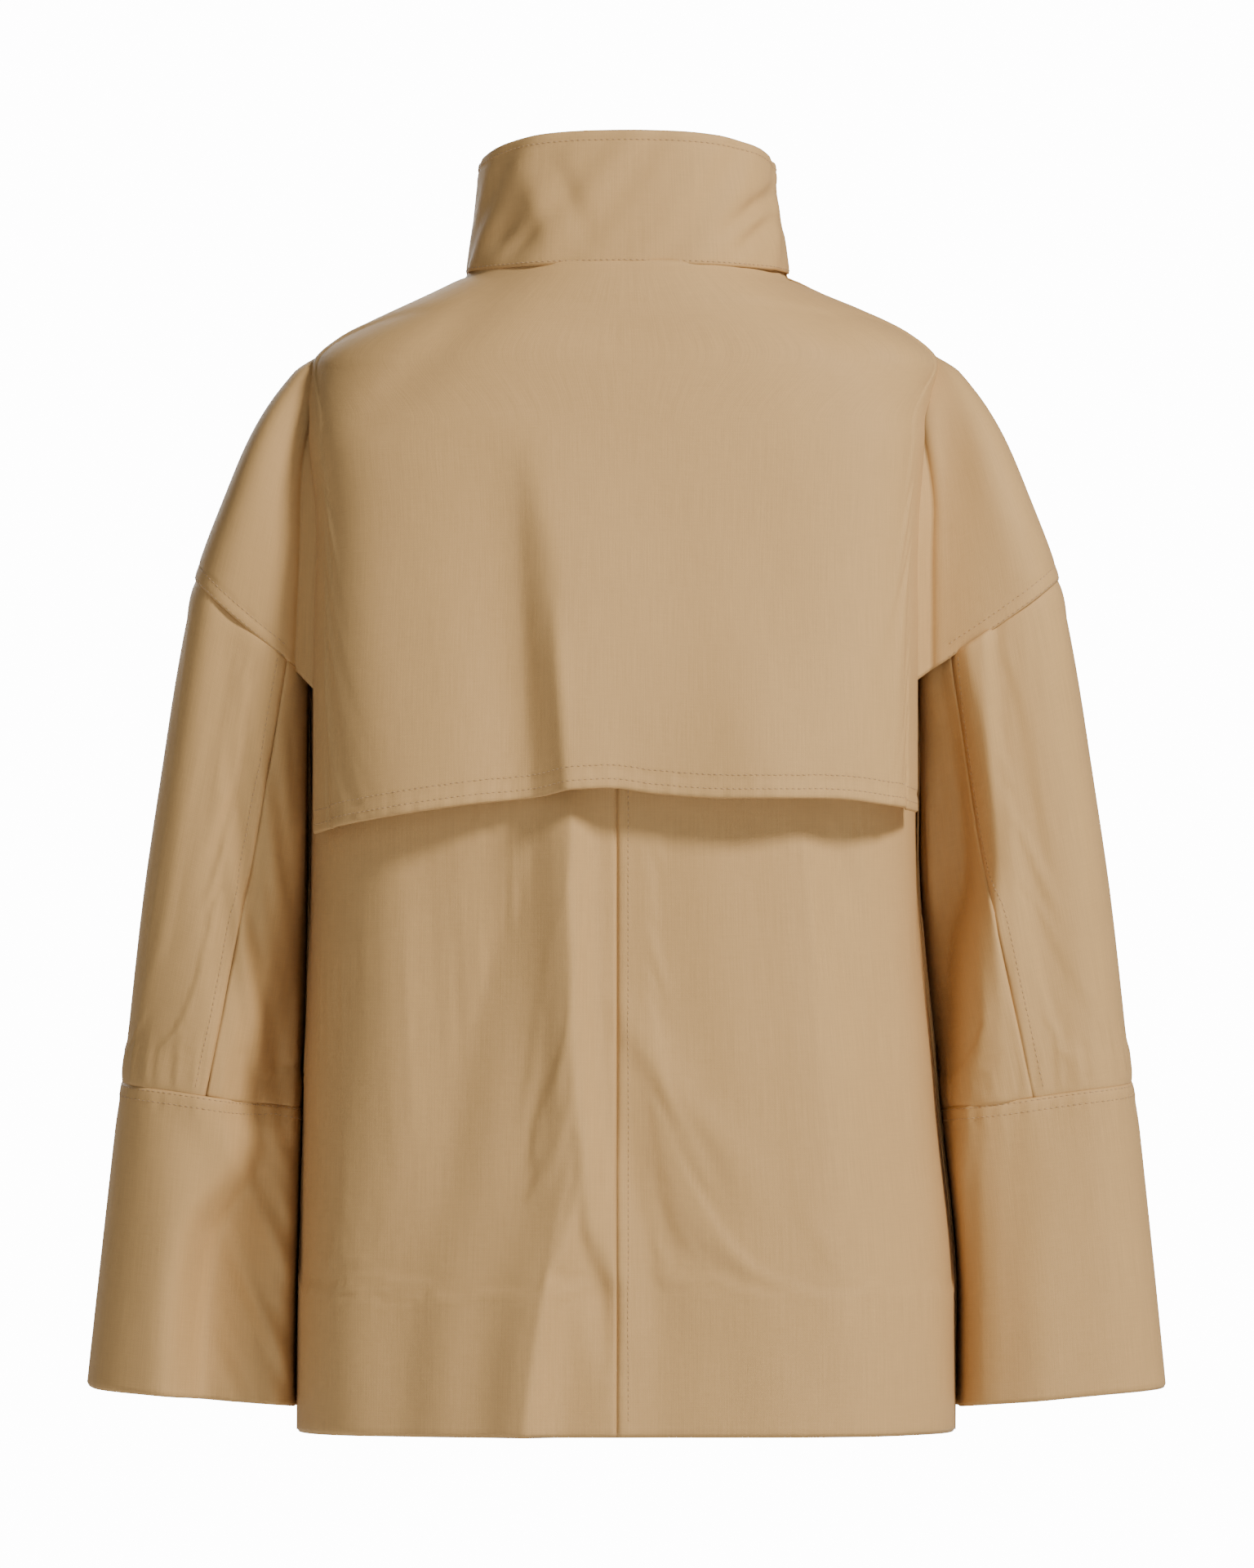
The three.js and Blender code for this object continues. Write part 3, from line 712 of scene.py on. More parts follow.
# ---- back panels, sewn down the middle ----
HEM_TURN = 0.036
BACK_SEAM_X = 0.006
BACK_TOP = 0.045
armhole_middle, armhole_half = 0.157, 0.084
ridge_path = fair((0.30, 0.0340), (0.444, 0.0322), (0.492, 0.0293), (0.516, 0.0264), (0.578, 0.0216),
                  (0.60, 0.010))
ridge_height = fair((0.29, 0.0), (0.33, 0.0105), (0.42, 0.0115), (0.50, 0.0105), (0.56, 0.008), (0.605, 0.0))
ridge_crest = fair((0.30, 0.0), (0.36, 0.0011), (0.56, 0.0014), (0.59, 0.0))
low_ridge_path = fair((0.50, 0.033), (0.530, 0.036), (0.607, 0.049), (0.655, 0.0562), (0.687, 0.0595))
low_ridge_height = fair((0.50, 0.0), (0.56, 0.008), (0.62, 0.013), (0.687, 0.014))
low_ridge_crest = fair((0.54, 0.0), (0.60, 0.0013), (0.687, 0.0011))
BACK_FOLDS = (
    # notch beside the low ridge
    (((0.50, 0.0265), (0.560, 0.0285), (0.602, 0.0154), (0.66, 0.012)),
     ((0.49, 0.0), (0.56, -0.004), (0.60, -0.0055), (0.655, 0.0)), 0.009, 0.008),
    # valley down the left of the ridges, and the swell beyond it
    (((0.33, 0.072), (0.362, 0.080), (0.468, 0.099), (0.612, 0.128), (0.687, 0.138)),
     ((0.30, 0.0), (0.37, -0.0055), (0.50, -0.006), (0.62, -0.006), (0.687, -0.004)), 0.034, 0.022),
    (((0.33, 0.150), (0.687, 0.168)), ((0.33, 0.001), (0.55, 0.004), (0.687, 0.003)), 0.02, 0.03),
    # drag line from the centre seam down to the right, and the hollow under it
    (((0.43, 0.004), (0.444, -0.0014), (0.482, -0.0254), (0.516, -0.054), (0.56, -0.075)),
     ((0.42, 0.0), (0.455, 0.0026), (0.50, 0.0026), (0.56, 0.0)), 0.010, 0.016),
    (((0.50, 0.0), (0.516, -0.0014), (0.583, -0.016), (0.636, -0.020)),
     ((0.48, 0.0), (0.53, -0.003), (0.60, -0.0034), (0.67, -0.001)), 0.012, 0.022),
    # shallow band down the right side, and the swell inside it
    (((0.33, -0.118), (0.348, -0.126), (0.42, -0.145), (0.516, -0.165), (0.60, -0.175)),
     ((0.30, -0.002), (0.36, -0.0045), (0.46, -0.005), (0.60, -0.002)), 0.020, 0.014),
    (((0.33, -0.075), (0.52, -0.110), (0.687, -0.125)), ((0.30, 0.001), (0.48, 0.005), (0.687, 0.006)),
     0.05, 0.032),
)


def back_relief(x, drop):
    ridge = fold(x, drop, ridge_path, ridge_height, 0.017, 0.011)
    ridge = ridge + fold(x, drop, ridge_path, ridge_crest, 0.0032, 0.0036)
    low_ridge = fold(x, drop, low_ridge_path, low_ridge_height, 0.022, 0.013)
    low_ridge = low_ridge + fold(x, drop, low_ridge_path, low_ridge_crest, 0.003, 0.0035)
    waves = 0.0012 * ripple(x + 0.12 * drop, 0.085, 0.7)
    return (ridge + low_ridge + folds(x, drop, *BACK_FOLDS) + waves) * ease(0.265, 0.30, drop)


def armhole_reach(drop):
    return 0.046 * np.sqrt(np.clip(1 - ((drop - armhole_middle) / armhole_half) ** 2, 0, 1))


def armhole_angle(drop, power, depth, share=1.0):
    along = share * armhole_reach(drop) / depth
    return np.arctan2((1 - along**power) ** (1 / power), along)


def back_surface(side):
    def surface(u, v):
        outward = u if side > 0 else 1 - u
        down, inward = turned(v * (HEM_DROP - BACK_TOP + HEM_TURN), HEM_DROP - BACK_TOP - 0.0013)
        drop = BACK_TOP + down
        seam = angle_at(BACK_SEAM_X * np.ones_like(drop), drop)
        angle = seam + (side * armhole_angle(drop, back_power(drop), depth_back(drop)) - seam) * outward
        x = body(angle, drop)[..., 0]
        from_seam = np.abs(x - BACK_SEAM_X)
        seam_dip = -0.0007 * np.exp(-from_seam / 0.0009)
        felled = (0.0005 * ease(0.0085, 0.0055, from_seam) if side < 0 else 0.0) * ease(0.0, 0.002, from_seam)
        pull = 0.00025 * ripple(drop, 0.016, 1.1) * np.exp(-from_seam / 0.007)
        place = on_body(angle, drop, back_relief(x, drop) + seam_dip + felled + pull - inward)
        place[..., 1] -= 0.004 * ease(0.30, 0.24, drop)
        return place

    return surface


for side in (1, -1):
    name = side_name(side)
    panel = Sheet(f"{name}_back_panel", 120, 210, back_surface(side))
    low_free = lambda v: ease(0.30, 0.42, v) * ease(0.88, 0.80, v)
    settle(panel, lambda u, v: 1 - FREEDOM * ease(0.0, 0.10, np.minimum(u, 1 - u)) * low_free(v))
    finish_sheet(panel, shell_cloth, (f"{name}_back", f"{name}_back_hem_turn"))
    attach(panel.object, "torso")
    if side < 0:
        bottom = (HEM_DROP - BACK_TOP - 0.006) / (HEM_DROP - BACK_TOP + HEM_TURN)
        place = lambda t: 0.35 + (bottom - 0.35) * t
        seam_row = lambda t: (panel.in_from(-0.0070, place(t)), place(t))
        stitch_row("centre_back_stitches", panel, seam_row, ride("torso"))

# ---- stand collar: outer and inner layer in one folded cloth ----
COLLAR_THICK = 0.0036
COLLAR_SPLIT = 100 * RAD
# each crease: its middle's x and z, how wide, high and deep it is
COLLAR_CREASES = (
    (-0.080, 0.037, 0.011, 0.0070, 0.0042),
    (-0.079, 0.020, 0.012, 0.0070, 0.0042),
    (-0.066, 0.028, 0.016, 0.0080, 0.0018),
    (0.064, 0.014, 0.012, 0.0060, 0.0022),
    (0.078, 0.018, 0.010, 0.0070, 0.0024),
)


def collar_surface(low_angle, high_angle):
    def surface(u, v):
        angle = low_angle + (high_angle - low_angle) * u
        height = COLLAR_TOP - COLLAR_SIDE_LOSS * np.sin(angle) ** 4
        radius = COLLAR_THICK / 2
        down, inward = turned(np.abs(2 * v - 1) * height, 0 * v + height * 10)
        past = np.clip((2 * v - 1) * height / radius, -math.pi / 2, math.pi / 2)
        below_top = radius * (1 - np.cos(past)) + np.maximum(down - radius * math.pi / 2, 0)
        share = 1 - below_top / height
        place = collar(angle, share)
        out = np.stack([place[..., 0], place[..., 1] - SIDE_Y, 0 * share], axis=-1)
        out /= np.linalg.norm(out, axis=-1, keepdims=True)
        x, z = place[..., 0], place[..., 2]
        back = np.cos(angle) > -0.2
        dent = -0.0036 * bump(x - 0.076, 0.014) * bump(z - 0.032, 0.024)
        dent = dent + 0.0016 * bump(x - 0.052 - 0.25 * (z - 0.03), 0.008) * bump(z - 0.034, 0.020)
        dent = dent - 0.0016 * bump(x - 0.034 - 0.4 * (z - 0.04), 0.008) * bump(z - 0.040, 0.022)
        for mid_x, mid_z, wide, high, deep in COLLAR_CREASES:
            slant = z - mid_z + 0.7 * (x - mid_x)
            dent = dent - deep * bump(x - mid_x, wide) * bump(slant, high)
        dent = dent + 0.0012 * ripple(angle + 8 * z, 0.55, 0.9)
        base_pull = -0.0013 * np.exp(-(z + neck_drop(angle)) / 0.002)
        stitched = -0.0003 * bump(below_top - 0.0067, 0.0015)
        height_off = radius * np.sin(past) - radius + np.where(back, dent, 0.3 * dent)
        return place + out * (height_off + base_pull + stitched)[..., None]

    return surface


def make_collar(name, low_angle, high_angle, across, nodes, mover):
    sheet = Sheet(name, across, 90, collar_surface(low_angle, high_angle))
    finish_sheet(sheet, shell_cloth, nodes, thickness=0.001)
    mover(sheet.object)
    stitch_row(f"{name}_top_stitches", sheet, lambda t: (t, 0.5 + 0.5 * 0.0067 / 0.079), mover)
    stitch_row(f"{name}_base_stitches", sheet, lambda t: (t, 1 - 0.5 * 0.0022 / 0.079), mover)
    return sheet


make_collar("stand_collar", -COLLAR_SPLIT, COLLAR_SPLIT, 190, ("collar_back", "collar_back_facing"),
            ride("torso"))
collar_edge = math.pi - 4.0 * RAD
for side in (1, -1):
    name = side_name(side)
    ends = (COLLAR_SPLIT, collar_edge) if side > 0 else (-collar_edge, -COLLAR_SPLIT)
    make_collar(f"{name}_collar_end_cloth", *ends, 70, (f"{name}_collar_end", f"{name}_collar_end_facing"),
                lambda thing, side=side: move_with_front(thing, side))


# ---- drop shoulders, sleeves and cuffs ----
WEB = 0.07
CAP_TOP = 0.0505


def web(side, angle, drop, front):
    """Behind the back panel or the front, inside the armhole: where a drop shoulder's hidden edge is sewn."""
    half = half_left(drop) if side > 0 else half_right(drop)
    inset = 0.009 if front else 0.018
    return on_body(side * angle_at(half - inset, drop, front), drop, -0.0022)


# hollow along a drop shoulder's inner edge, and the drag line from its top
CAP_HOLLOW = ((0.05, 0.188), (0.24, 0.190)), ((0.06, 0.0), (0.12, -0.004), (0.24, -0.003)), 0.016, 0.010
CAP_DRAG = ((0.06, 0.200), (0.20, 0.236)), ((0.07, 0.0), (0.13, 0.0022), (0.23, 0.0)), 0.016, 0.014


def cap_surface(side):
    def surface(u, v):
        around = u if side > 0 else 1 - u
        angle = (-45 + 270 * np.clip((around - WEB) / (1 - 2 * WEB), 0, 1)) * RAD
        seam = drop_seam(angle)
        drop = CAP_TOP + (seam - CAP_TOP) * v
        x = np.abs(arm(side, angle, drop)[..., 0])
        back = np.cos(angle) > 0
        hollow = folds(x, drop, CAP_HOLLOW)
        drag = folds(x, drop, CAP_DRAG)
        seam_dip = -0.0006 * np.exp(-(seam - drop) / 0.0012)
        stitched = -0.0004 * bump(seam - drop - 0.0085, 0.0018) * (1 + 0.8 * ripple(angle, 0.3, 1.9))
        place = on_arm(side, angle, drop, np.where(back, hollow + drag, 0.4 * drag) + seam_dip + stitched)
        web_drop = CAP_TOP + (SEAM_INNER + 0.026 - CAP_TOP) * v
        for front, share in ((False, 1 - around / WEB), (True, 1 - (1 - around) / WEB)):
            share = (np.clip(share, 0, 1) ** 1.5)[..., None]
            place = place * (1 - share) + web(side, angle, web_drop, front) * share
        return place

    return surface


LEFT_SLEEVE_FOLDS = (
    # hollow beside the body
    (((0.24, 0.174), (0.34, 0.182), (0.43, 0.197), (0.50, 0.212)),
     ((0.24, -0.010), (0.34, -0.022), (0.42, -0.040), (0.47, -0.040), (0.51, -0.024)), 0.018, 0.036),
    # long swell down the outer part
    (((0.2, 0.235), (0.66, 0.262)), ((0.2, 0.0), (0.45, 0.003), (0.66, 0.004)), 0.022, 0.018),
)
RIGHT_SLEEVE_FOLDS = (
    (((0.22, 0.180), (0.29, 0.192), (0.35, 0.198), (0.40, 0.189), (0.50, 0.184)),
     ((0.22, -0.010), (0.27, -0.032), (0.32, -0.048), (0.37, -0.052), (0.43, -0.040), (0.49, -0.016)),
     0.013, 0.034),
    (((0.22, 0.196), (0.372, 0.219), (0.5, 0.24)), ((0.22, 0.003), (0.37, 0.005), (0.52, 0.001)),
     0.014, 0.012),
)


def sleeve_relief(side, angle, drop):
    x = np.abs(arm(side, angle, drop)[..., 0])
    back = np.cos(angle) > 0
    if side > 0:
        streaks = 0.0034 * ripple(x + 0.16 * drop, 0.024, 0.5) * bump(x - 0.212, 0.022)
        relief = folds(x, drop, *LEFT_SLEEVE_FOLDS) + streaks * ease(0.24, 0.36, drop)
    else:
        streaks = 0.0018 * ripple(x - 0.04 * drop, 0.020, 1.7) * bump(x - 0.205, 0.02)
        relief = folds(x, drop, *RIGHT_SLEEVE_FOLDS) + streaks
    slow = 0.0016 * ripple(angle + 2.2 * drop, 1.3, 0.8 + side) * np.cos(angle)
    return np.where(back, relief, 0) * ease(0.0, 0.10, np.cos(angle)) + slow


def sleeve_surface(side, outer):
    def surface(u, v):
        around = u if side > 0 else 1 - u
        back_at = lambda drop: back_seam_angle(side, drop)
        front_at = lambda drop: math.pi - back_seam_angle(side, drop) + 20 * RAD
        if outer:
            angle_of = lambda drop: back_at(drop) + (front_at(drop) - back_at(drop)) * around
        else:
            angle_of = lambda drop: front_at(drop) + (back_at(drop) + 2 * math.pi - front_at(drop)) * around
        top = SEAM_INNER * np.ones_like(u)
        for _ in range(6):
            top = drop_seam(angle_of(top))
        top = top - 0.0015
        bottom = cuff_seam(angle_of(CUFF_SEAM * np.ones_like(u))) + 0.0012
        drop = top + (bottom - top) * v
        angle = angle_of(drop)
        from_seam = np.minimum(around, 1 - around) * (0.20 if outer else 0.10)
        seam_dip = -0.0009 * np.exp(-from_seam / 0.0015)
        seam_dip = seam_dip - 0.0011 * np.exp(-np.minimum(drop - top, bottom - drop) / 0.0022)
        gathers = ease(0.045, 0.010, bottom - drop) * ease(0.0, 0.009, bottom - drop)
        pucker = 0.0008 * ripple(angle, 0.17, 0.3 + side) * gathers
        fullness = 0.0006 * ease(0.012, 0.0, drop - top)
        place = on_arm(side, angle, drop, seam_dip + pucker - fullness * ease(-0.9, -0.4, np.sin(angle)))
        place[..., 1] += sleeve_relief(side, angle, drop)
        return place

    return surface


LEFT_CUFF_FOLDS = (
    # ridge down the outer part, and the slanting hollow inside it
    (((0.50, 0.255), (0.66, 0.274)), ((0.49, 0.0), (0.56, 0.005), (0.66, 0.006)), 0.022, 0.016),
    (((0.49, 0.200), (0.53, 0.214), (0.57, 0.238), (0.61, 0.246), (0.66, 0.249)),
     ((0.49, -0.022), (0.54, -0.027), (0.60, -0.025), (0.66, -0.018)), 0.015, 0.044),
)
RIGHT_CUFF_FOLDS = ((((0.50, 0.235), (0.66, 0.25)), ((0.5, 0.0), (0.66, 0.003)), 0.03, 0.02),)


def cuff_surface(side):
    inner_turn = 0.150

    def surface(u, v):
        around = u if side > 0 else 1 - u
        angle = (-90 + 360 * around) * RAD
        top = cuff_seam(angle)
        end = CUFF_END + 0.0065 - 0.0065 * np.sin(angle)
        along, inward = turned(v * (end - top + inner_turn), end - top)
        drop = top + along
        x = np.abs(arm(side, angle, drop)[..., 0])
        back = np.cos(angle) > 0
        if side > 0:
            drape = folds(x, drop, *LEFT_CUFF_FOLDS)
            drape = drape + 0.0028 * ripple(x + 0.5 * drop, 0.026, 0.6) * bump(x - 0.205, 0.025)
        else:
            drape = folds(x, drop, *RIGHT_CUFF_FOLDS)
            drape = drape + 0.0025 * ripple(x, 0.022, 2.0) * bump(x - 0.200, 0.014)
        hang = ease(0.0, 0.045, drop - top)
        drape = drape * hang + sleeve_relief(side, angle, drop) * (1 - hang)
        from_top = np.where(inward > 0.001, 1.0, drop - top)
        seam_dip = -0.0006 * np.exp(-from_top / 0.0012)
        pucker = 0.0006 * ripple(angle, 0.15, 1.3 + side) * bump(from_top - 0.007, 0.004)
        slow = 0.0012 * ripple(angle + 1.5 * drop, 1.1, 1.8 - side)
        slow = slow * ease(-0.95, -0.5, np.sin(angle)) * ease(0.0, 0.03, from_top)
        place = on_arm(side, angle, drop, seam_dip + pucker + slow - inward)
        place[..., 1] += np.where(back, drape, 0)
        return place

    return surface


def make_arm(side):
    name = side_name(side)
    body_name = f"{name}_sleeve"
    cap = Sheet(f"{name}_drop_shoulder", 130, 80, cap_surface(side))
    finish_sheet(cap, shell_cloth, (f"{name}_shoulder_cap",))
    move_with_sleeve(cap.object, side)
    with_sleeve = lambda thing: move_with_sleeve(thing, side)
    for row, above in (("lower", 0.0014), ("upper", 0.0086)):
        seam_row = lambda t, above=above: (0.10 + 0.80 * t, cap.down_from(-above, 0.10 + 0.80 * t))
        stitch_row(f"{name}_drop_seam_{row}_stitches", cap, seam_row, with_sleeve)
    outer = Sheet(f"{name}_outer_sleeve", 96, 120, sleeve_surface(side, True))
    inner = Sheet(f"{name}_inner_sleeve", 70, 110, sleeve_surface(side, False))
    for sheet, node in ((outer, "outer"), (inner, "inner")):
        settle(sheet, edges_held(0.12, 0.1))
        finish_sheet(sheet, shell_cloth, (f"{name}_sleeve_{node}",))
        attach(sheet.object, body_name)
    back_row = lambda t: (outer.in_from(side * 0.0072, 0.01 + 0.98 * t), 0.01 + 0.98 * t)
    stitch_row(f"{name}_sleeve_seam_stitches", outer, back_row, ride(body_name))
    cuff = Sheet(f"{name}_deep_cuff", 170, 120, cuff_surface(side))
    finish_sheet(cuff, shell_cloth, (f"{name}_cuff", f"{name}_cuff_facing"))
    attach(cuff.object, body_name)
    for row, below in (("upper", 0.0016), ("lower", 0.0077)):
        cuff_row = lambda t, below=below: (t, cuff.down_from(below, t))
        stitch_row(f"{name}_cuff_{row}_stitches", cuff, cuff_row, ride(body_name))


make_arm(1)
make_arm(-1)


# ---- fronts, facings and pockets ----
# soft folds down the middle of a front and down its pocket
FRONT_FOLD = ((0.10, 0.085), (0.687, 0.075)), ((0.10, 0.0), (0.4, 0.003), (0.687, 0.006)), 0.025, 0.022
POCKET_FOLD = ((0.2, 0.15), (0.687, 0.145)), ((0.25, 0.0), (0.687, 0.006)), 0.02, 0.02


def front_side_angle(drop):
    return math.pi - armhole_angle(drop, FRONT_POWER, depth_front(drop), 0.4)


def front_surface(side, from_x=None, height=0.0, bottom=None):
    """A front from the side seam, or from a line at from_x, to the opening edge."""

    def surface(u, v):
        around = u if side > 0 else 1 - u

        def angle_of(drop):
            edge = angle_at(FRONT_GAP, drop, front=True)
            start = front_side_angle(drop) if from_x is None else angle_at(from_x, drop, front=True)
            return start + (edge - start) * around

        top = NECK_SIDE_DROP * np.ones_like(u)
        for _ in range(14):
            top = neck_drop(angle_of(top)) - TUCK
        drop = top + ((bottom or HEM_DROP) - top) * v
        angle = angle_of(drop)
        x = body(angle, drop)[..., 0]
        drape = folds(x, drop, FRONT_FOLD, POCKET_FOLD)
        drape = drape + 0.001 * ripple(x + 0.1 * drop + 0.3 * side, 0.09, 0.2)
        neck_pull = -0.0026 * bump(drop - top, 1.15 * TUCK)
        return on_body(side * angle, drop, drape + height + neck_pull)

    return surface


fronts = {}
for side in (1, -1):
    name = side_name(side)
    front = fronts[side] = Sheet(f"{name}_front_panel", 90, 190, front_surface(side))
    settle(front, edges_held(0.1, 0.1))
    finish_sheet(front, shell_cloth, (f"{name}_front", f"{name}_front_side"))
    move_with_front(front.object, side)
    edge_row = lambda t: (front.in_from(-side * 0.006, 0.01 + 0.98 * t), 0.01 + 0.98 * t)
    mover = lambda thing, side=side: move_with_front(thing, side)
    stitch_row(f"{name}_front_edge_stitches", front, edge_row, mover)
    facing = Sheet(f"{name}_facing", 30, 120, front_surface(side, 0.058, -CLOTH - 0.0004, HEM_DROP - 0.001))
    finish_sheet(facing, facing_cloth, (f"{name}_front_facing",))
    move_with_front(facing.object, side)


def pocket_surface(side, width, length, start_down, height, crown):
    def surface(u, v):
        across = 1 - u if side > 0 else u
        down = start_down + length * v
        drop = 0.405 + down
        x = fold_line(drop)[0] + 0.012 + 0.1 * down + width * across
        angle = angle_at(x, drop, front=True)
        edge = np.minimum(np.minimum(u, 1 - u) * width, np.minimum(v, 1 - v) * length)
        raised = height + crown * ease(0.0, 0.003, edge)
        return on_body(side * angle, drop, raised + folds(x, drop, POCKET_FOLD))

    return surface


for side in (1, -1):
    name = side_name(side)
    welt = Sheet(f"{name}_welt", 24, 80, pocket_surface(side, 0.028, 0.150, 0.0, 0.0004, 0.0026))
    finish_sheet(welt, shell_cloth, (f"{name}_pocket_welt",))
    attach(welt.object, "torso")
    for end, across in (("inner", 0.09), ("outer", 0.91)):
        welt_row = lambda t, across=across: (across, 0.02 + 0.96 * t)
        stitch_row(f"{name}_welt_{end}_stitches", welt, welt_row, ride("torso"))
    pouch = Sheet(f"{name}_pocket_pouch", 14, 40, pocket_surface(side, 0.028, 0.200, 0.010, -0.0065, -0.003))
    finish_sheet(pouch, lining_cloth, (f"{name}_pocket_bag",))
    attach(pouch.object, "torso")


# ---- inside: neck facing, lining, hanger loop ----
def inner_surface(top, bottom, height):
    def surface(u, v):
        angle = (1 - 2 * u) * 54 * RAD
        drop = top + (bottom - top) * v
        x = body(angle, drop)[..., 0]
        return on_body(angle, drop, height + np.minimum(back_relief(x, drop), 0) * ease(0.2, 0.35, drop))

    return surface


neck_piece = Sheet("neck_facing", 70, 24, inner_surface(0.006, 0.066, -0.0052))
finish_sheet(neck_piece, facing_cloth, ("back_neck_facing",))
lining = Sheet("upper_lining", 70, 80, inner_surface(0.064, 0.400, -0.0066))
finish_sheet(lining, lining_cloth, ("back_lining",))
for sheet in (neck_piece, lining):
    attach(sheet.object, "torso")
lining_row = lambda t: (0.01 + 0.98 * t, 0.95)
stitch_row("neck_facing_stitches", neck_piece, lining_row, ride("torso"))

LOOP_TAPE = 0.004
loop_low, loop_high = (Vector(corner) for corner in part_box("hanger_loop"))


def loop_surface(u, v):
    """A flat tape that runs down, across and up again as a soft U."""
    half_tape = LOOP_TAPE / 2
    half = (loop_high.x - loop_low.x) / 2 - half_tape
    deep = loop_high.z - loop_low.z - half_tape
    turn = math.pi * v
    across = spow(np.cos(turn), 5.0)
    down = spow(np.sin(turn), 3.4)
    step = np.stack([-half * across, 0 * v, loop_high.z - deep * down], axis=-1)
    off = half_tape * (2 * u - 1)
    x = step[..., 0] - off * across
    z = step[..., 2] - off * down
    y = (loop_low.y + loop_high.y) / 2 + 0.0004 + 0.0003 * np.cos(3 * turn)
    return np.stack([x, y * np.ones_like(x), z], axis=-1)


loop = Sheet("hanger_tape", 8, 90, loop_surface)
loop.object.data.materials.append(facing_cloth)
thicken(loop.object, 0.0012)
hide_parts("hanger_loop")
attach(loop.object, "hanger_loop")


# ---- buttons and buttonholes ----
def make_button(node):
    low, high = (Vector(corner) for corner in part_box(node))
    centre = (low + high) / 2
    drop = -centre.z
    ahead, here = fold_line(drop + 0.01)[1], fold_line(drop)[1]
    lean = math.atan2(ahead - here, 0.01)
    radius, thick = 0.011, 0.0036
    button = bmesh.new()
    profile = [(0, 0.0006), (0.55, 0.0006), (0.92, 0.0), (1.0, 0.35), (1.0, 0.7), (0.92, 1.0), (0.80, 1.0),
               (0.68, 0.74), (0.30, 0.66), (0.0, 0.66)]
    ring = [button.verts.new((radius * across, 0, thick * up)) for across, up in profile]
    edges = [button.edges.new(pair) for pair in zip(ring, ring[1:])]
    bmesh.ops.spin(button, geom=ring + edges, cent=(0, 0, 0), axis=(0, 0, 1), angle=2 * math.pi, steps=40,
                   use_merge=True)
    bmesh.ops.remove_doubles(button, verts=button.verts, dist=1e-6)
    bmesh.ops.recalc_face_normals(button, faces=button.faces)
    for corner in range(4):
        turn = math.pi / 4 + corner * math.pi / 2
        spot = Matrix.Translation((0.0026 * math.cos(turn), 0.0026 * math.sin(turn), thick * 0.67))
        spot = spot @ Matrix.Diagonal((1, 1, 0.3, 1))
        bmesh.ops.create_icosphere(button, subdivisions=2, radius=0.0008, matrix=spot)
    place = Matrix.Translation(centre) @ Matrix.Rotation(math.pi / 2 + lean, 4, "X")
    place = place @ Matrix.Translation((0, 0, -thick / 2))
    bmesh.ops.transform(button, matrix=place, verts=button.verts)
    mesh = smooth_mesh(f"{node}_horn", button)
    mesh.materials.append(horn)
    thing = put(f"{node}_horn", mesh)
    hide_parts(node)
    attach(thing, "left_front")


def work_buttonhole(node):
    """Thread worked round a slit in the right front, level with its button."""
    low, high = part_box(node)
    edge_top = FRONT_NECK_DROP - TUCK
    edge_length = HEM_DROP - edge_top
    level = (-(low[2] + high[2]) / 2 - edge_top) / edge_length

    def path(t):
        turn = 2 * math.pi * t
        v = level + 0.0011 / edge_length * np.sin(turn)
        return fronts[-1].in_from(0.018 - 0.010 * np.cos(turn), v), v

    stitch_row(f"buttonhole_{node[-1]}_thread", fronts[-1], path, lambda thing: move_with_front(thing, -1))


for node in sorted(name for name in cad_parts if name.startswith("button_")):
    make_button(node)
    work_buttonhole(node)


# ---- camera, light and floor ----
def aim(thing, place, target):
    thing.location = place
    thing.rotation_euler = (Vector(target) - Vector(place)).to_track_quat("-Z", "Y").to_euler()


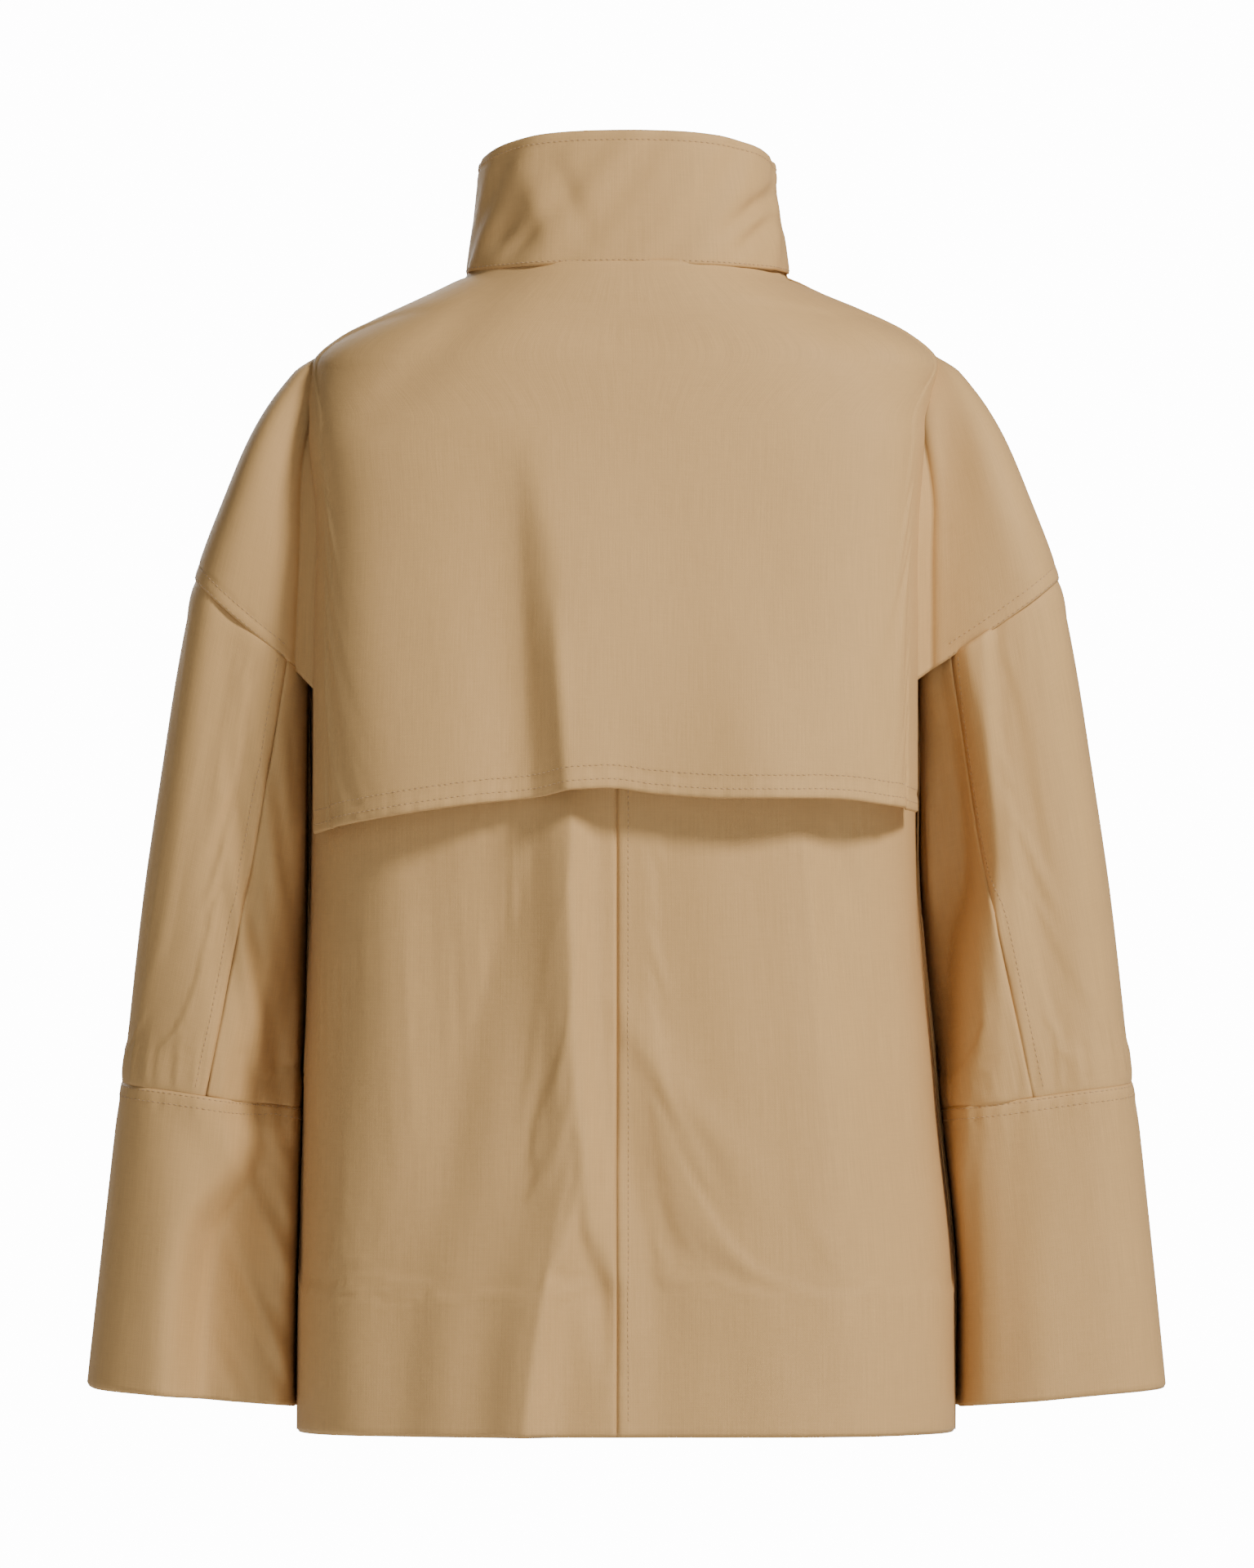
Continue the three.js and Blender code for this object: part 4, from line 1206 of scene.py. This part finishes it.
def area_light(name, place, target, size, power, colour):
    lamp = bpy.data.lights.new(name, "AREA")
    lamp.shape, lamp.size, lamp.energy, lamp.color = "DISK", size, power, colour
    aim(put(name, lamp), place, target)


MIDDLE = (0.0, 0.0, -0.305)
camera_data = bpy.data.cameras.new("camera")
camera_data.sensor_fit = "VERTICAL"
camera_data.sensor_height = 36.0
CAMERA_DISTANCE, VIEW_HEIGHT = 10.0, 0.9216
camera_data.lens = camera_data.sensor_height * CAMERA_DISTANCE / VIEW_HEIGHT
camera = put("camera", camera_data)
aim(camera, (0.0, CAMERA_DISTANCE, MIDDLE[2]), MIDDLE)
bpy.context.scene.camera = camera

area_light("key", (-2.0, 1.9, 1.9), (0, 0, -0.25), 0.7, 150, (1.0, 0.97, 0.93))
area_light("low", (-1.2, 3.2, -1.2), (0, 0, -0.5), 1.8, 30, (1.0, 0.96, 0.90))
area_light("fill", (2.0, 3.2, 0.1), (0, 0, -0.3), 2.2, 14, (1.0, 0.97, 0.93))
area_light("front", (0.8, -3.2, 0.8), (0, 0, -0.3), 2.2, 55, (1.0, 0.98, 0.96))

world = bpy.data.worlds.new("studio")
world.use_nodes = True
sky = world.node_tree.nodes["Background"]
sky.inputs["Color"].default_value = (1.0, 1.0, 1.0, 1.0)
ray = world.node_tree.nodes.new("ShaderNodeLightPath")
seen = math_node(world.node_tree, "MULTIPLY", ray.outputs["Is Camera Ray"], 14.0)
world.node_tree.links.new(math_node(world.node_tree, "ADD", seen, 0.17), sky.inputs["Strength"])
bpy.context.scene.world = world

floor_mesh = bmesh.new()
bmesh.ops.create_circle(floor_mesh, cap_ends=True, radius=4.0, segments=96)
bmesh.ops.translate(floor_mesh, vec=(0, 0, -1.1), verts=floor_mesh.verts)
floor_data = bpy.data.meshes.new("floor")
floor_mesh.to_mesh(floor_data)
floor_mesh.free()
floor_paint = bpy.data.materials.new("pale_floor")
floor_paint.use_nodes = True
floor_paint.node_tree.nodes["Principled BSDF"].inputs["Base Color"].default_value = (0.86, 0.86, 0.86, 1)
floor_paint.node_tree.nodes["Principled BSDF"].inputs["Roughness"].default_value = 0.9
floor_data.materials.append(floor_paint)
floor = put("floor", floor_data)
